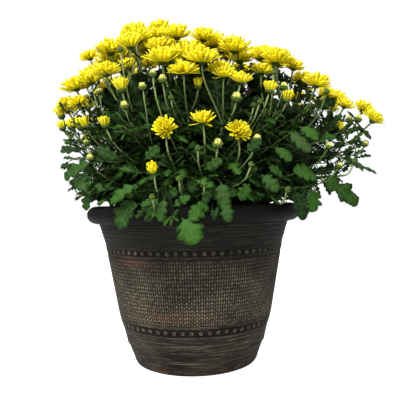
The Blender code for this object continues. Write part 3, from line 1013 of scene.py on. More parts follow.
    def build_lip(self, finish: Material) -> Piece:
        """The rolled lip, from the neck round to the inside of the mouth.

        Args:
            finish: The piece's material.

        Returns:
            The new piece.
        """
        sketch = Sketch(PLANTER_VALUES)
        angles = np.radians(np.linspace(-78, 150, 26))
        radius = self.lip_centre[0] + self.lip_roll * np.cos(angles)
        height = self.lip_centre[1] + self.lip_roll * np.sin(angles)
        neck = np.array([[self.radii[-1] + self.skin, self.heights[-1] - 0.2 * MM]])
        under = np.stack([radius, height], axis=-1)
        inner = np.array([[self.radii[-1] - self.wall, self.heights[-1]]])
        profile = np.concatenate([neck, under, inner])
        turn = around(self.lip_columns)
        sag = 0.35 * MM * np.sin(3 * turn + 0.6) + 0.25 * MM * np.sin(5 * turn + 2.1)
        share = smooth(self.heights[-1], self.lip_centre[1], profile[:, 1])[:, None]
        grid = lathe(profile[:, 0], profile[:, 1:] + sag * share, self.lip_columns)
        # The lip is given no brushing or light value, so the finish paints it all in the shaded colour: painted shade
        # under the leaves
        sketch.add_grids(grid, is_capped=False, plain=0.45)
        return sketch.build("pot_lip", [finish])

    def build_lining(self, finish: Material) -> Piece:
        """The wall's inside and the floor of the pot.

        Args:
            finish: The piece's material.

        Returns:
            The new piece.
        """
        sketch = Sketch(("relief",))
        heights = np.concatenate([np.linspace(self.heights[-1], 0.02, 14), [self.base_thickness]])
        radius = np.interp(heights, self.heights, self.radii) - self.wall
        sketch.add_grids(lathe(radius, heights, self.hidden_columns), is_capped=False)
        return sketch.build("pot_lining", [finish])

    def build_base(self, finish: Material) -> Piece:
        """The flat base with its drain holes, which go right through.

        Args:
            finish: The piece's material.

        Returns:
            The new piece.
        """
        shape = bpy.data.meshes.new("pot_base")
        bm = bmesh.new()
        edges = []
        circles = [(0.0, 0.0, self.radii[0] - 1.4 * MM, self.hidden_columns)]
        for angle in around(self.drain_holes, 0.5):
            circles.append((self.drain_ring * math.cos(angle), self.drain_ring * math.sin(angle),
                            self.drain_hole_radius, 28))
        for x, y, radius, sides in circles:
            ring = [bm.verts.new((x + radius * math.cos(angle), y + radius * math.sin(angle), 0.0))
                    for angle in around(sides)]
            edges += [bm.edges.new((ring[side], ring[(side + 1) % sides])) for side in range(sides)]
        bmesh.ops.triangle_fill(bm, use_beauty=True, edges=edges)
        made = bmesh.ops.extrude_face_region(bm, geom=list(bm.faces))
        moved = [item for item in made["geom"] if isinstance(item, bmesh.types.BMVert)]
        bmesh.ops.translate(bm, verts=moved, vec=(0.0, 0.0, self.base_thickness))
        bmesh.ops.recalc_face_normals(bm, faces=bm.faces)
        bm.to_mesh(shape)
        bm.free()
        shape.materials.append(finish)
        return put("pot_base", shape)

    def build(self) -> list[Piece]:
        """Build every piece of the planter and dress it.

        Returns:
            The pieces.
        """
        bronze, charcoal = RubbedBronzePlastic().material(), CharcoalPlastic().material()
        return [dress(self.build_wall(bronze), "pot"), dress(self.build_lip(bronze)),
                dress(self.build_lining(charcoal)), dress(self.build_base(charcoal))]


@dataclass
class SoilBed:
    """The peat mix in the pot: a lumpy, gently mounded top, loose crumbs, and plain sides against the pot."""

    planter: Planter
    gap: float = 0.6 * MM
    crumbs: int = 90
    crumb_radius: tuple[float, float] = (0.9 * MM, 2.6 * MM)

    def build(self) -> list[Piece]:
        """Build the soil.

        Returns:
            The one piece.
        """
        sketch = Sketch(("relief",))
        side_heights = np.concatenate([[self.planter.base_thickness + 0.3 * MM], np.linspace(0.02, 0.157, 7)])
        side = np.interp(side_heights, self.planter.heights, self.planter.radii) - self.planter.wall - self.gap
        top = np.linspace(0.985, 0.02, 30) * side[-1]
        radius = np.concatenate([[0.01], side, top])
        height = np.concatenate([side_heights[:1], side_heights, [PLAN.soil_height(away) for away in top]])
        grid = lathe(radius, height, self.planter.hidden_columns)
        x, y = grid[0, ..., 0], grid[0, ..., 1]
        lumps = sum(np.sin(x * wave + phase) * np.cos(y * wave * 1.1 + 2 * phase) / share
                    for wave, phase, share in ((180, 0.3, 1.0), (420, 1.7, 1.6), (900, 4.1, 2.4)))
        is_top = np.arange(len(radius)) > len(side)
        grid[0, is_top, :, 2] += 0.9 * MM * lumps[is_top]
        sketch.add_grids(grid)
        rng = random.Random(31)
        ring = around(6)
        rise = np.array([-0.9, -0.35, 0.35, 0.9])
        for _ in range(self.crumbs):
            size = rng.uniform(*self.crumb_radius)
            away, angle = 0.098 * math.sqrt(rng.random()), rng.uniform(0, 2 * math.pi)
            wide = np.sqrt(1 - rise ** 2)[:, None] * np.array([rng.uniform(0.7, 1.25) for _ in ring])
            grid = np.stack([wide * np.cos(ring), wide * np.sin(ring),
                             np.broadcast_to(rise[:, None] * 0.75, wide.shape)], axis=-1) * size
            grid += np.array([away * math.cos(angle), away * math.sin(angle), PLAN.soil_height(away) + 0.3 * size])
            sketch.add_grids(grid[None])
        return [dress(sketch.build("soil_bed", [PeatMix().material()]), "potting_soil")]


# The plant's organs


@dataclass(frozen=True)
class LeafShape:
    """One kind of leaf. Sizes are shares of the blade's length, and a row follows each side vein outward.

    The outline gives, from base to tip, how far along the leaf a point of the margin lies and how far out.
    """

    outline: tuple[tuple[float, float], ...]
    petiole: float
    section: tuple[float, ...]
    sweep: float = 0.45
    fold: float = 0.30
    thickness: float = 0.32 * MM
    petiole_radius: float = 0.75 * MM

    def grid(self, root: Array, control: Array, tip: Array, up_way: Array, roll: float, ripple: float,
             seed: float, breadth: float) -> tuple[Array, Array, Array, Array]:
        """One leaf on its petiole, bent along a curve.

        Args:
            root: Where the petiole leaves the stem.
            control: The curve's control point.
            tip: The leaf's tip.
            up_way: The way that the upper face looks.
            roll: Turn about the midrib, in radians.
            ripple: Height of the margin's waves, as a share of the leaf's length.
            seed: Phase of those waves.
            breadth: Factor on the outline's width.

        Returns:
            The grid, then run, across and face for it.
        """
        length = float(np.linalg.norm(control - root) + np.linalg.norm(tip - control)) * 0.97
        blade = length * (1.0 - self.petiole)
        along, half = np.array(self.outline).T
        half = np.maximum(half * breadth, self.petiole_radius / blade * np.linspace(1.0, 0.3, len(half)))
        mid = np.maximum.accumulate(along - self.sweep * half + 1e-4 * np.arange(len(half)))
        run = np.concatenate([[0.0, 0.0], np.maximum(mid, 0.0)])
        mid = np.concatenate([[-self.petiole * length / blade, -0.5 * self.petiole * length / blade], mid])
        half = np.concatenate([[self.petiole_radius / blade] * 2, half])
        top = np.array(self.section)
        across = np.concatenate([top, top[-2:0:-1]])
        face = np.concatenate([np.ones(len(top)), np.zeros(len(top) - 2)])
        face[[0, len(top) - 1]] = 0.5
        out = mid[:, None] + self.sweep * half[:, None] * np.abs(across)
        out[:2] = mid[:2, None]
        share = np.clip((out * blade + self.petiole * length) / length, 0.0, 1.0)
        centre = bezier(root, control, tip, share)
        way = unit((control - root) * (1 - share[..., None]) + (tip - control) * share[..., None])
        side = unit(np.cross(way, up_way))
        normal = np.cross(side, way)
        side, normal = turned(side, normal, roll)
        reach = half[:, None] * blade * across
        spread = np.abs(across) * np.minimum(half / 0.15, 1.0)[:, None]
        lift = (self.fold * np.abs(reach) * (1.0 - 0.55 * spread)
                + ripple * length * spread ** 2 * np.sin(2 * math.pi * 2.6 * run[:, None] + seed
                                                         + np.sign(across) * 1.1))
        is_stalk = np.arange(len(mid))[:, None] < 3
        thick = np.where(is_stalk, np.sqrt(np.clip(1 - across ** 2, 0, 1)) * self.petiole_radius,
                         self.thickness * (1 - 0.75 * np.abs(across)))
        lift = lift + np.where(face < 0.4, -thick, 0.35 * thick * (face > 0.9))
        points = centre + side * reach[..., None] + normal * lift[..., None]
        return points[None], run[:, None], np.abs(across)[None, :], face[None, :]


# A lower leaf has two blunt lobes on each side and a broad, blunt end; those near the flowers get simpler
BROAD_LEAF = LeafShape(
    ((0.00, 0.020), (0.07, 0.040), (0.11, 0.120), (0.150, 0.205), (0.165, 0.190), (0.21, 0.262), (0.235, 0.240),
     (0.29, 0.275), (0.345, 0.230), (0.365, 0.175), (0.43, 0.245), (0.450, 0.238), (0.51, 0.335), (0.535, 0.312),
     (0.60, 0.345), (0.660, 0.275), (0.680, 0.210), (0.74, 0.252), (0.760, 0.238), (0.82, 0.255), (0.85, 0.215),
     (0.91, 0.185), (0.935, 0.140), (0.975, 0.090), (1.0, 0.015)), 0.20, (-1.0, -0.5, 0.0, 0.5, 1.0))
RIM_LEAF = LeafShape(BROAD_LEAF.outline, 0.06, BROAD_LEAF.section)
STEM_LEAF = LeafShape(
    ((0.00, 0.020), (0.10, 0.060), (0.20, 0.220), (0.30, 0.265), (0.37, 0.140), (0.50, 0.320), (0.60, 0.340),
     (0.68, 0.175), (0.80, 0.245), (0.92, 0.185), (1.0, 0.025)), 0.20, (-1.0, 0.0, 1.0))
SPRAY_LEAF = LeafShape(
    ((0.00, 0.020), (0.15, 0.050), (0.34, 0.135), (0.45, 0.160), (0.52, 0.085), (0.66, 0.135), (0.80, 0.130),
     (0.93, 0.070), (1.0, 0.012)), 0.14, (-1.0, 0.0, 1.0), fold=0.4, petiole_radius=0.5 * MM)
BRACT_LEAF = LeafShape(((0.00, 0.030), (0.30, 0.105), (0.65, 0.120), (0.90, 0.060), (1.0, 0.012)), 0.05,
                       (-1.0, 0.0, 1.0), fold=0.5, petiole_radius=0.4 * MM)

LEAF, STEM, SCALES = 0, 1, 2


@dataclass
class Greens:
    """The green part of one shoot while it is being drawn: leaves, stems and bud scales."""

    rng: random.Random
    sketch: Sketch = field(default_factory=lambda: Sketch(GREEN_VALUES))

    def add_stem(self, path: Array, radii: Array, sides: int, paleness: float = 1.0) -> None:
        """Add a stem along a path."""
        tone = self.rng.uniform(0.5, 1.0) * paleness
        self.sketch.add_grids(tube_grid(path, radii, sides), STEM, run=0.0, tone=tone)

    def add_leaf(self, shape: LeafShape, root: Array, control: Array, tip: Array, up_way: Array,
                 tone: float, roll: float, breadth: float) -> None:
        """Add a leaf on a curve.

        Args:
            shape: The kind of leaf.
            root: Where its petiole starts.
            control: Where its curve bends.
            tip: Its end.
            up_way: The way that its face looks.
            tone: How fresh its green is, from 0 to 1.
            roll: Its turn about its own length.
            breadth: Its breadth as a share of the usual one.
        """
        grid, run, across, face = shape.grid(root, control, tip, up_way, roll,
                                             self.rng.uniform(0.015, 0.050), self.rng.uniform(0, 6.28), breadth)
        self.sketch.add_grids(grid, LEAF, run=run[None], across=across[None], face=face[None], tone=tone)

    def grow_leaf(self, shape: LeafShape, root: Array, way: Vector, length: float, droop: float,
                  tone: float) -> None:
        """Grow a leaf from a stem, with its face to the light, unless it would meet the pot.

        Args:
            shape: The kind of leaf.
            root: Where it leaves the stem.
            way: Where it sets out for, a unit vector.
            length: Its length with the petiole.
            droop: How far its tip hangs, as a share of its length.
            tone: How fresh its green is, from 0 to 1.
        """
        away = Vector((root[0], root[1], 0.0))
        edge = float(smooth(0.02, 0.11, away.length))
        jitter = Vector([self.rng.gauss(0, 0.42) for _ in range(3)])
        light = (UP * 0.75 + away.normalized() * 0.85 * edge + jitter).normalized()
        way = (way - light * way.dot(light) * 0.65).normalized()
        breadth = self.rng.uniform(0.85, 1.2)
        for _ in range(6):
            control = root + np.array(way) * length * 0.5
            tip = root + np.array(way) * length - np.array([0.0, 0.0, droop * length])
            if clears_pot(bezier(root, control, tip, np.linspace(0.2, 1.0, 9)), 0.2 * length):
                roll = self.rng.uniform(-0.4, 0.4)
                self.add_leaf(shape, root, control, tip, np.array(light), tone, roll, breadth)
                return
            way = (way + UP * 0.25).normalized()
            droop *= 0.6

    def add_placed_leaf(self, root: Array, leaf: "PlacedLeaf") -> None:
        """Add a leaf with a known place, and the twig that carries it from a stem.

        Args:
            root: Where the twig leaves the stem.
            leaf: The leaf.
        """
        base, tip = as_array(leaf.base), as_array(leaf.tip)
        control = base * 0.65 + root * 0.35
        control[2] = max(root[2], base[2]) + 0.05 * float(np.linalg.norm(base - root))
        twig = bezier(root, control, base, np.linspace(0, 1, 6))
        grid = tube_grid(twig, np.linspace(0.7, 0.5, 6) * MM, 4)
        self.sketch.add_grids(grid, LEAF, run=0.0, across=0.4, tone=0.1, face=1.0)
        outward = unit(np.array([base[0], base[1], 0.0]))
        light = unit(outward * leaf.outward + np.array([0.0, -leaf.front, 1.0 - 0.5 * leaf.outward]))
        middle = (base + tip) / 2 + light * 0.14 * float(np.linalg.norm(tip - base))
        shape = STEM_LEAF if leaf.is_small else RIM_LEAF
        self.add_leaf(shape, base, middle, tip, -light if leaf.shows_back else light, leaf.tone,
                      self.rng.uniform(-0.3, 0.3), leaf.breadth)


# The room that leaves have: inside the mouth and above the soil, above the lip, or outside the lip and not too low
MOUTH_RADIUS, ABOVE_SOIL, ABOVE_LIP, LIP_RADIUS, LOWEST_TIP = 0.101, 0.166, 0.1875, 0.130, 0.090


def clears_pot(points: Array, room: float) -> bool:
    """Whether a leaf along these points misses the soil and the pot's lip.

    Args:
        points: Points along the leaf.
        room: Half the leaf's width.

    Returns:
        True if it does.
    """
    radius, height = np.hypot(points[:, 0], points[:, 1]), points[:, 2]
    over_soil = (radius < MOUTH_RADIUS) & (height > ABOVE_SOIL)
    outside = (radius > LIP_RADIUS + 0.25 * room) & (height > LOWEST_TIP)
    return bool(np.all(over_soil | (height > ABOVE_LIP) | outside))


class Stage(Enum):
    """How far a flower head has opened."""

    OPEN = "open"
    YOUNG = "young"
    CUPPED = "cupped"
    HALF_OPEN = "half open"
    YELLOW_BUD = "yellow bud"
    GREEN_BUD = "green bud"


# Each ring of petals from the outside in: how many; length, width and distance of the root from the middle as
# shares of the head's radius; rise at the root and the tip in degrees; height of the root, again as a share
WHORLS: dict[Stage, tuple[tuple[float, ...], ...]] = {
    Stage.OPEN: (
        (20, 0.96, 0.3, 0.2, 4, 30, 0), (19, 0.98, 0.29, 0.18, 14, 44, 0.03), (16, 0.92, 0.28, 0.15, 28, 60, 0.06),
        (12, 0.82, 0.26, 0.12, 44, 78, 0.09), (9, 0.66, 0.22, 0.08, 64, 94, 0.12),
        (5, 0.5, 0.19, 0.04, 82, 98, 0.14)),
    Stage.YOUNG: (
        (17, 1.02, 0.32, 0.2, 14, 38, 0), (16, 1.02, 0.3, 0.18, 26, 54, 0.04),
        (13, 0.92, 0.29, 0.15, 42, 70, 0.07), (10, 0.76, 0.25, 0.11, 60, 86, 0.1),
        (6, 0.52, 0.2, 0.05, 80, 98, 0.13)),
    Stage.CUPPED: (
        (14, 1.16, 0.42, 0.34, 50, 76, 0), (13, 1.2, 0.4, 0.26, 58, 84, 0.05),
        (11, 1.12, 0.36, 0.19, 68, 92, 0.08), (8, 0.96, 0.3, 0.11, 80, 98, 0.1)),
    Stage.HALF_OPEN: (
        (12, 1.26, 0.46, 0.38, 54, 82, 0), (11, 1.32, 0.44, 0.29, 64, 88, 0.06), (9, 1.24, 0.4, 0.2, 76, 96, 0.1)),
    Stage.YELLOW_BUD: (
        (10, 1.15, 0.62, 0.66, 62, 128, 0), (8, 1.15, 0.56, 0.44, 74, 130, 0.06),
        (5, 0.95, 0.5, 0.16, 84, 118, 0.2)),
    Stage.GREEN_BUD: (
        (7, 0.9, 0.6, 0.5, 80, 150, 0.35),),
}

# The cup of scales under a head: its radius as a share of the head's
CUP_SHARE = {Stage.OPEN: 0.25, Stage.YOUNG: 0.30, Stage.CUPPED: 0.42, Stage.HALF_OPEN: 0.56,
             Stage.YELLOW_BUD: 0.86, Stage.GREEN_BUD: 0.92}
CLOSED_STAGES = (Stage.YELLOW_BUD, Stage.GREEN_BUD)
STEM_RADIUS = 2.1 * MM
PETAL_THICKNESS = 0.352 * MM
# The columns of a petal or a scale: its left edge, the middle of its face, its right edge, the middle of its back
ROUND = np.array([-1.0, 0.0, 1.0, 0.0])
IS_BELOW = np.array([0, 0, 0, 1])


@dataclass
class FlowerHead:
    """One flower head or bud: the middle of its face, the way it faces, its radius and its stage."""

    point: Vector
    facing: Vector
    radius: float
    stage: Stage

    @property
    def neck(self) -> Vector:
        """Where the stalk meets the cup.

        Returns:
            The point.
        """
        depth = (PLAN.blossom_depth + PLAN.calyx_depth) * (self.radius / PLAN.blossom_radius[0]) ** 0.5
        if self.stage in CLOSED_STAGES:
            depth = 1.7 * self.radius
        return self.point - self.facing * depth

    @property
    def cup_radius(self) -> float:
        """Radius of the cup of scales at its top."""
        return CUP_SHARE[self.stage] * self.radius

    @property
    def cup_height(self) -> float:
        """Height of the cup of scales."""
        return 0.85 * self.cup_radius + 0.8 * MM

    def draw_petals(self, sketch: Sketch, rng: random.Random) -> None:
        """Add the head's petals to a mesh.

        Args:
            sketch: The mesh that gets them.
            rng: The piece's source of random numbers.
        """
        seat = np.array(self.neck + self.facing * self.cup_height * 0.72)
        openness = 0.0 if self.stage in CLOSED_STAGES else rng.gauss(0, 6)
        for number in range(len(WHORLS[self.stage])):
            self.draw_whorl(sketch, rng, number, seat, openness)

    def draw_whorl(self, sketch: Sketch, rng: random.Random, number: int, seat: Array, openness: float) -> None:
        """Add one ring of petals.

        Args:
            sketch: The mesh of the petals.
            rng: Source of the small differences.
            number: The ring's number from the outside.
            seat: The middle of the cup's mouth.
            openness: How many degrees further up than usual the petals set out.
        """
        count, share, breadth, inset, low, high, base = WHORLS[self.stage][number]
        axes, size = frame_of(self.facing), self.radius
        is_wide_open = self.stage in (Stage.OPEN, Stage.YOUNG)
        shares = np.array([0.0, 0.35, 0.8, 1.0] if is_wide_open and number > 3 else [0.0, 0.22, 0.55, 0.87, 1.0])
        outline = np.interp(shares, (0.0, 0.18, 0.45, 0.74, 0.92, 1.0), (0.40, 0.64, 0.93, 1.0, 0.88, 0.52))
        draw = np.array([[rng.gauss(0, 1) for _ in range(6)] for _ in range(count)])
        turn = around(count, 0.5 * (number % 2)) + 0.35 * number + 0.10 * draw[:, 0]
        length = size * share * (1.0 + 0.07 * draw[:, 1])
        start, end = math.radians(low + openness), math.radians(high + 1.4 * openness)
        is_stray = (draw[:, 2] < -1.9) & (number == 0) & is_wide_open
        lean = math.radians(4.5) * draw[:, 2] - math.radians(28) * is_stray
        angles = start + (end - start) * shares[None, :] + lean[:, None]
        angles = angles + math.radians(6) * draw[:, 3:4] * shares ** 2
        steps = np.diff(shares, prepend=0.0)[None, :] * length[:, None]
        out = inset * size + np.cumsum(np.cos(angles) * steps, axis=1)
        rise = base * size + np.cumsum(np.sin(angles) * steps, axis=1)
        outward = spokes(turn, axes)[:, None]
        way = np.cos(angles)[..., None] * outward + np.sin(angles)[..., None] * axes[2]
        normal = -np.sin(angles)[..., None] * outward + np.cos(angles)[..., None] * axes[2]
        side, normal = turned(np.cross(way, normal), normal, 0.14 * draw[:, 4, None, None])
        half = 0.5 * breadth * size * outline[None, :] * (1.0 + 0.08 * draw[:, 5:6])
        cup = np.interp(shares, (0.0, 0.5, 1.0), (0.40, 0.20, 0.10))
        lift = (np.abs(ROUND) ** 1.6 * cup[:, None])[None] * half[..., None] - IS_BELOW * PETAL_THICKNESS
        centre = seat + outward * out[..., None] + axes[2] * rise[..., None]
        grid = (centre[:, :, None] + side[:, :, None] * (half[..., None] * ROUND)[..., None]
                + normal[:, :, None] * lift[..., None])
        # Inner rings take more of the shade colour: painted shade deep in the head, on top of the random tone
        depth = 0.12 * number
        tone = np.clip(0.35 + 0.22 * draw[:, 1] + depth, 0, 1)[:, None, None]
        sketch.add_grids(grid, int(self.stage in CLOSED_STAGES), across=np.abs(ROUND)[None, None], tone=tone,
                         run=np.clip(shares * (1 - 0.5 * depth), 0, 1)[None, :, None])

    def draw_cup(self, greens: Greens) -> None:
        """Add the cup of green scales under the petals.

        Args:
            greens: The greens of the same shoot.
        """
        axes = frame_of(self.facing)
        base, top = np.array(self.neck), self.cup_radius
        turns = np.linspace(0.0, 1.0, 6)
        angles = np.radians(14 + ((150 if self.stage is Stage.GREEN_BUD else 96) - 14) * turns)
        radii = np.maximum(top * np.sin(angles), 0.5 * MM)
        heights = self.cup_height * (1 - np.cos(angles))
        grid = base + radii[:, None, None] * spokes(around(8), axes) + heights[:, None, None] * axes[2]
        tone = greens.rng.uniform(0.3, 0.9)
        greens.sketch.add_grids(grid[None], SCALES, run=turns[None, :, None] * 0.4, tone=tone)
        rows = np.array([0.0, 0.7, 1.0])
        layers = ((18, 74, 8), (44, 104 if self.stage in CLOSED_STAGES else 96, 9))
        is_wide_open = self.stage in (Stage.OPEN, Stage.YOUNG)
        for layer, (start, stop, count) in enumerate(layers[1:] if is_wide_open else layers):
            spin = around(count, 0.5 * layer)
            sweep = np.radians(start + (stop - start) * rows)
            width = math.pi * top / count * 1.25 * np.array([0.8, 0.9, 0.15])
            outward = spokes(spin, axes)[:, None]
            sideways = np.sin(spin)[:, None] * axes[0] - np.cos(spin)[:, None] * axes[1]
            reach = top * np.sin(sweep) * (1.07 + 0.05 * layer)
            height = self.cup_height * (1 - np.cos(sweep) * (1.02 + 0.03 * layer))
            normal = np.sin(sweep)[None, :, None] * outward - np.cos(sweep)[None, :, None] * axes[2]
            centre = base + outward * reach[None, :, None] + axes[2] * height[None, :, None]
            grid = (centre[:, :, None] + sideways[:, None, None] * (width[:, None] * ROUND)[None, :, :, None]
                    + normal[:, :, None] * (0.28 * MM * np.where(IS_BELOW, -0.4, 1 - np.abs(ROUND)))[:, None])
            greens.sketch.add_grids(grid, SCALES, run=rows[None, :, None], tone=tone)


@dataclass(frozen=True)
class PlacedLeaf:
    """A leaf with a known place: the base of its blade, its tip, and how it is turned and dressed."""

    base: Sequence[float]
    tip: Sequence[float]
    breadth: float
    tone: float
    outward: float
    shows_back: bool = False
    front: float = 0.8
    is_small: bool = False

    @classmethod
    def from_row(cls, row: Sequence[int], is_small: bool = False) -> "PlacedLeaf":
        """A leaf from base and tip in mm, the next three fields in hundredths, and at times the last two.

        Args:
            row: The numbers.
            is_small: Whether the leaf is of the small kind.

        Returns:
            The leaf.
        """
        ends = as_array(row[:6]) / 1000
        breadth, tone, outward = (number / 100 for number in row[6:9])
        shows_back, front = row[9:] or (0, 80)
        return cls(ends[:3], ends[3:], breadth, tone, outward, bool(shows_back), front / 100, is_small)


# Leaves that the photograph shows one by one
SEEN_LEAVES: tuple[tuple[int, ...], ...] = (
    (-58, -114, 194, -72, -122, 163, 125, 40, 30), (-33, -128, 192, -44, -137, 170, 70, 70, 90),
    (-27, -130, 192, -32, -139, 170, 80, 60, 90), (-11, -136, 173, 2, -144, 149, 160, 95, 40),
    (14, -132, 188, -4, -142, 171, 100, 90, 90), (26, -134, 206, 29, -140, 181, 115, 45, 50),
    (29, -138, 188, 32, -143, 168, 110, 50, 50), (16, -134, 204, 10, -140, 186, 90, 30, 110),
    (-55, -124, 206, -80, -121, 188, 80, 75, 90), (-33, -136, 191, -49, -139, 185, 70, 70, 90),
    (-19, -136, 184, -3, -141, 193, 80, 80, 90), (142, -58, 213, 181, -62, 181, 85, 50, 30, 0, 200),
    (128, -83, 200, 121, -90, 175, 135, 100, 30), (104, -93, 200, 111, -100, 167, 110, 15, 90),
    (165, -55, 236, 191, -55, 220, 110, 50, 90), (128, -93, 211, 101, -105, 217, 130, 90, 90),
    (108, -105, 262, 125, -112, 247, 120, 85, 90), (96, -110, 256, 117, -115, 235, 95, 50, 90, 1, 80),
    (80, -118, 240, 95, -125, 225, 110, 60, 90), (183, -50, 226, 208, -50, 216, 40, 40, 90),
    (187, -45, 270, 204, -45, 256, 80, 30, 90), (-108, -65, 234, -140, -60, 216, 95, 50, 90),
    (-102, -75, 222, -128, -75, 206, 90, 20, 90), (-109, -70, 205, -114, -74, 181, 120, 45, 90),
    (-89, -85, 202, -122, -80, 207, 80, 50, 90), (-121, -40, 250, -151, -35, 249, 50, 40, 90),
    (-46, -125, 229, -31, -130, 240, 100, 40, 90), (51, -125, 235, 66, -130, 246, 100, 30, 90),
    (66, -125, 213, 80, -132, 196, 110, 50, 90), (54, -128, 204, 43, -137, 189, 110, 60, 90),
    (11, -130, 218, 28, -135, 227, 90, 50, 90), (-72, -110, 231, -94, -110, 241, 90, 30, 90),
    (89, -115, 211, 74, -122, 220, 110, 60, 90),
)
# Smaller leaves that fill the outline: the base and the tip of the blade in mm, and the tone in hundredths
SPRIGS: tuple[tuple[int, ...], ...] = (
    (149, -48, 279, 160, -62, 288, 25), (155, -48, 270, 170, -48, 284, 55), (160, -48, 276, 174, -48, 278, 10),
    (164, -48, 263, 175, -62, 272, 80), (168, -48, 257, 185, -48, 268, 40), (175, -48, 261, 191, -48, 270, 5),
    (177, -48, 252, 190, -62, 261, 65), (171, -48, 248, 191, -48, 254, 25), (179, -48, 243, 200, -48, 253, 55),
    (166, -48, 241, 179, -62, 243, 10), (177, -48, 236, 197, -48, 243, 80), (184, -48, 234, 203, -48, 237, 40),
    (163, -48, 232, 174, -62, 235, 5), (170, -48, 227, 188, -48, 229, 65), (154, -48, 243, 173, -48, 253, 25),
    (149, -48, 255, 162, -62, 261, 55), (141, -48, 268, 156, -48, 282, 10), (161, -48, 223, 177, -48, 220, 80),
    (151, -48, 232, 163, -62, 239, 40), (156, -48, 214, 170, -48, 207, 5), (134, -48, 210, 143, -48, 193, 65),
    (143, -48, 212, 151, -62, 200, 25), (155, -48, 255, 166, -48, 248, 55), (180, -48, 263, 195, -48, 268, 10),
    (143, -18, 292, 157, -12, 311, 0), (150, -18, 297, 166, -12, 311, 10), (135, -18, 304, 144, -12, 325, 5),
    (126, -18, 309, 134, -12, 330, 0), (107, -18, 317, 108, -12, 340, 10), (96, -18, 317, 98, -12, 337, 5),
    (117, -18, 314, 120, -12, 337, 0), (84, -18, 319, 84, -12, 340, 10), (70, -18, 332, 73, -12, 355, 5),
    (61, -18, 332, 60, -12, 355, 0), (131, -18, 300, 149, -12, 316, 10), (122, -18, 307, 126, -12, 327, 5),
    (-111, -18, 304, -119, -12, 323, 0), (-102, -18, 302, -107, -12, 322, 10), (-123, -18, 290, -134, -12, 306, 5),
    (-129, -55, 246, -145, -52, 252, 25), (-127, -55, 237, -143, -52, 240, 55),
    (-123, -55, 250, -137, -52, 261, 10), (-130, -55, 253, -143, -52, 260, 80),
    (-127, -55, 257, -141, -52, 270, 40), (-125, -55, 264, -136, -52, 275, 5),
    (-120, -55, 270, -132, -52, 283, 65), (-121, -55, 210, -139, -52, 203, 25),
    (-119, -55, 224, -135, -52, 222, 55), (-42, -127, 185, -54, -138, 173, 15),
    (-36, -130, 183, -46, -139, 171, 20), (-29, -131, 184, -39, -139, 174, 75),
    (-26, -133, 182, -28, -140, 169, 60), (-19, -138, 177, -22, -142, 166, 80),
    (-51, -124, 188, -62, -136, 177, 30), (-13, -133, 184, -20, -141, 172, 15), (17, -134, 183, 19, -141, 170, 15),
    (24, -136, 185, 20, -142, 173, 35), (10, -134, 185, 6, -141, 176, 20), (-21, -139, 175, -14, -143, 170, 95),
    (-21, -139, 175, -28, -143, 166, 90), (91, -20, 321, 92, -14, 347, 0), (101, -20, 326, 105, -14, 346, 10),
    (112, -20, 318, 113, -14, 341, 5), (128, -20, 316, 129, -14, 334, 0), (77, -20, 326, 80, -14, 349, 10),
    (68, -20, 322, 67, -14, 345, 5), (138, -20, 308, 137, -14, 327, 0), (49, -20, 324, 53, -14, 350, 10),
    (41, -20, 332, 40, -14, 357, 5), (29, -20, 337, 27, -14, 360, 0), (20, -20, 332, 23, -14, 357, 10),
    (121, -20, 299, 137, -14, 315, 5), (145, -20, 299, 156, -14, 314, 0), (154, -20, 292, 169, -14, 307, 10),
    (146, -45, 210, 156, -45, 193, 45), (157, -45, 208, 167, -45, 193, 15), (167, -45, 244, 180, -45, 234, 5),
    (174, -45, 255, 185, -45, 247, 30), (180, -45, 230, 171, -45, 219, 0), (-142, -45, 293, -148, -45, 303, 10),
)


@dataclass(frozen=True)
class Skirt:
    """The low leaves all round, which come up between the stems and lie over the lip."""

    count: int = 200
    seed: int = 77
    tip_radius: tuple[float, float] = (0.112, 0.150)
    tip_height: tuple[float, float] = (0.188, 0.206)
    length: tuple[float, float] = (0.028, 0.040)
    hang: tuple[float, float] = (0.160, 0.188)
    front: float = math.radians(62)
    hang_free: float = math.radians(112)

    def leaves(self) -> list[PlacedLeaf]:
        """The skirt's leaves. One in eight at the back hangs down past the lip.

        Returns:
            The leaves, in their order round the pot.
        """
        rng = random.Random(self.seed)
        made = []
        for index in range(self.count):
            azimuth = (index + rng.uniform(-0.3, 0.3)) * 2 * math.pi / self.count
            radius, height = rng.uniform(*self.tip_radius), rng.uniform(*self.tip_height)
            length = rng.uniform(*self.length)
            off_front = abs((azimuth + 1.5 * math.pi) % (2 * math.pi) - math.pi)
            is_front = off_front < self.front
            hangs = index % 8 == 0 and off_front > self.hang_free
            stands = index % (4 if is_front else 2) == 1
            if hangs:
                radius, height = rng.uniform(0.139, 0.150), rng.uniform(*self.hang)
            base_azimuth = azimuth + rng.uniform(-0.14, 0.14)
            if is_front and not stands:
                length = rng.uniform(0.018, 0.030)
                radius, height = rng.uniform(0.118, 0.143), rng.uniform(0.184, 0.214)
                if radius < 0.134:
                    height = max(height, 0.192)
            if stands:
                radius, height = rng.uniform(0.066, 0.106), rng.uniform(0.192, 0.218)
            inner = radius - (0.012 if hangs or stands else 0.8 * length)
            rise = -0.9 if stands else 0.8 if hangs else 0.35
            base = (inner * math.cos(base_azimuth), inner * math.sin(base_azimuth),
                    max(0.172, height + rise * length))
            tip = (radius * math.cos(azimuth), radius * math.sin(azimuth), height)
            breadth, tone = rng.uniform(0.9, 1.25), rng.random() ** (0.8 if is_front else 1.4)
            made.append(PlacedLeaf(base, tip, breadth, tone, rng.uniform(0.4, 1.0), False, 0.0, stands or is_front))
        return made


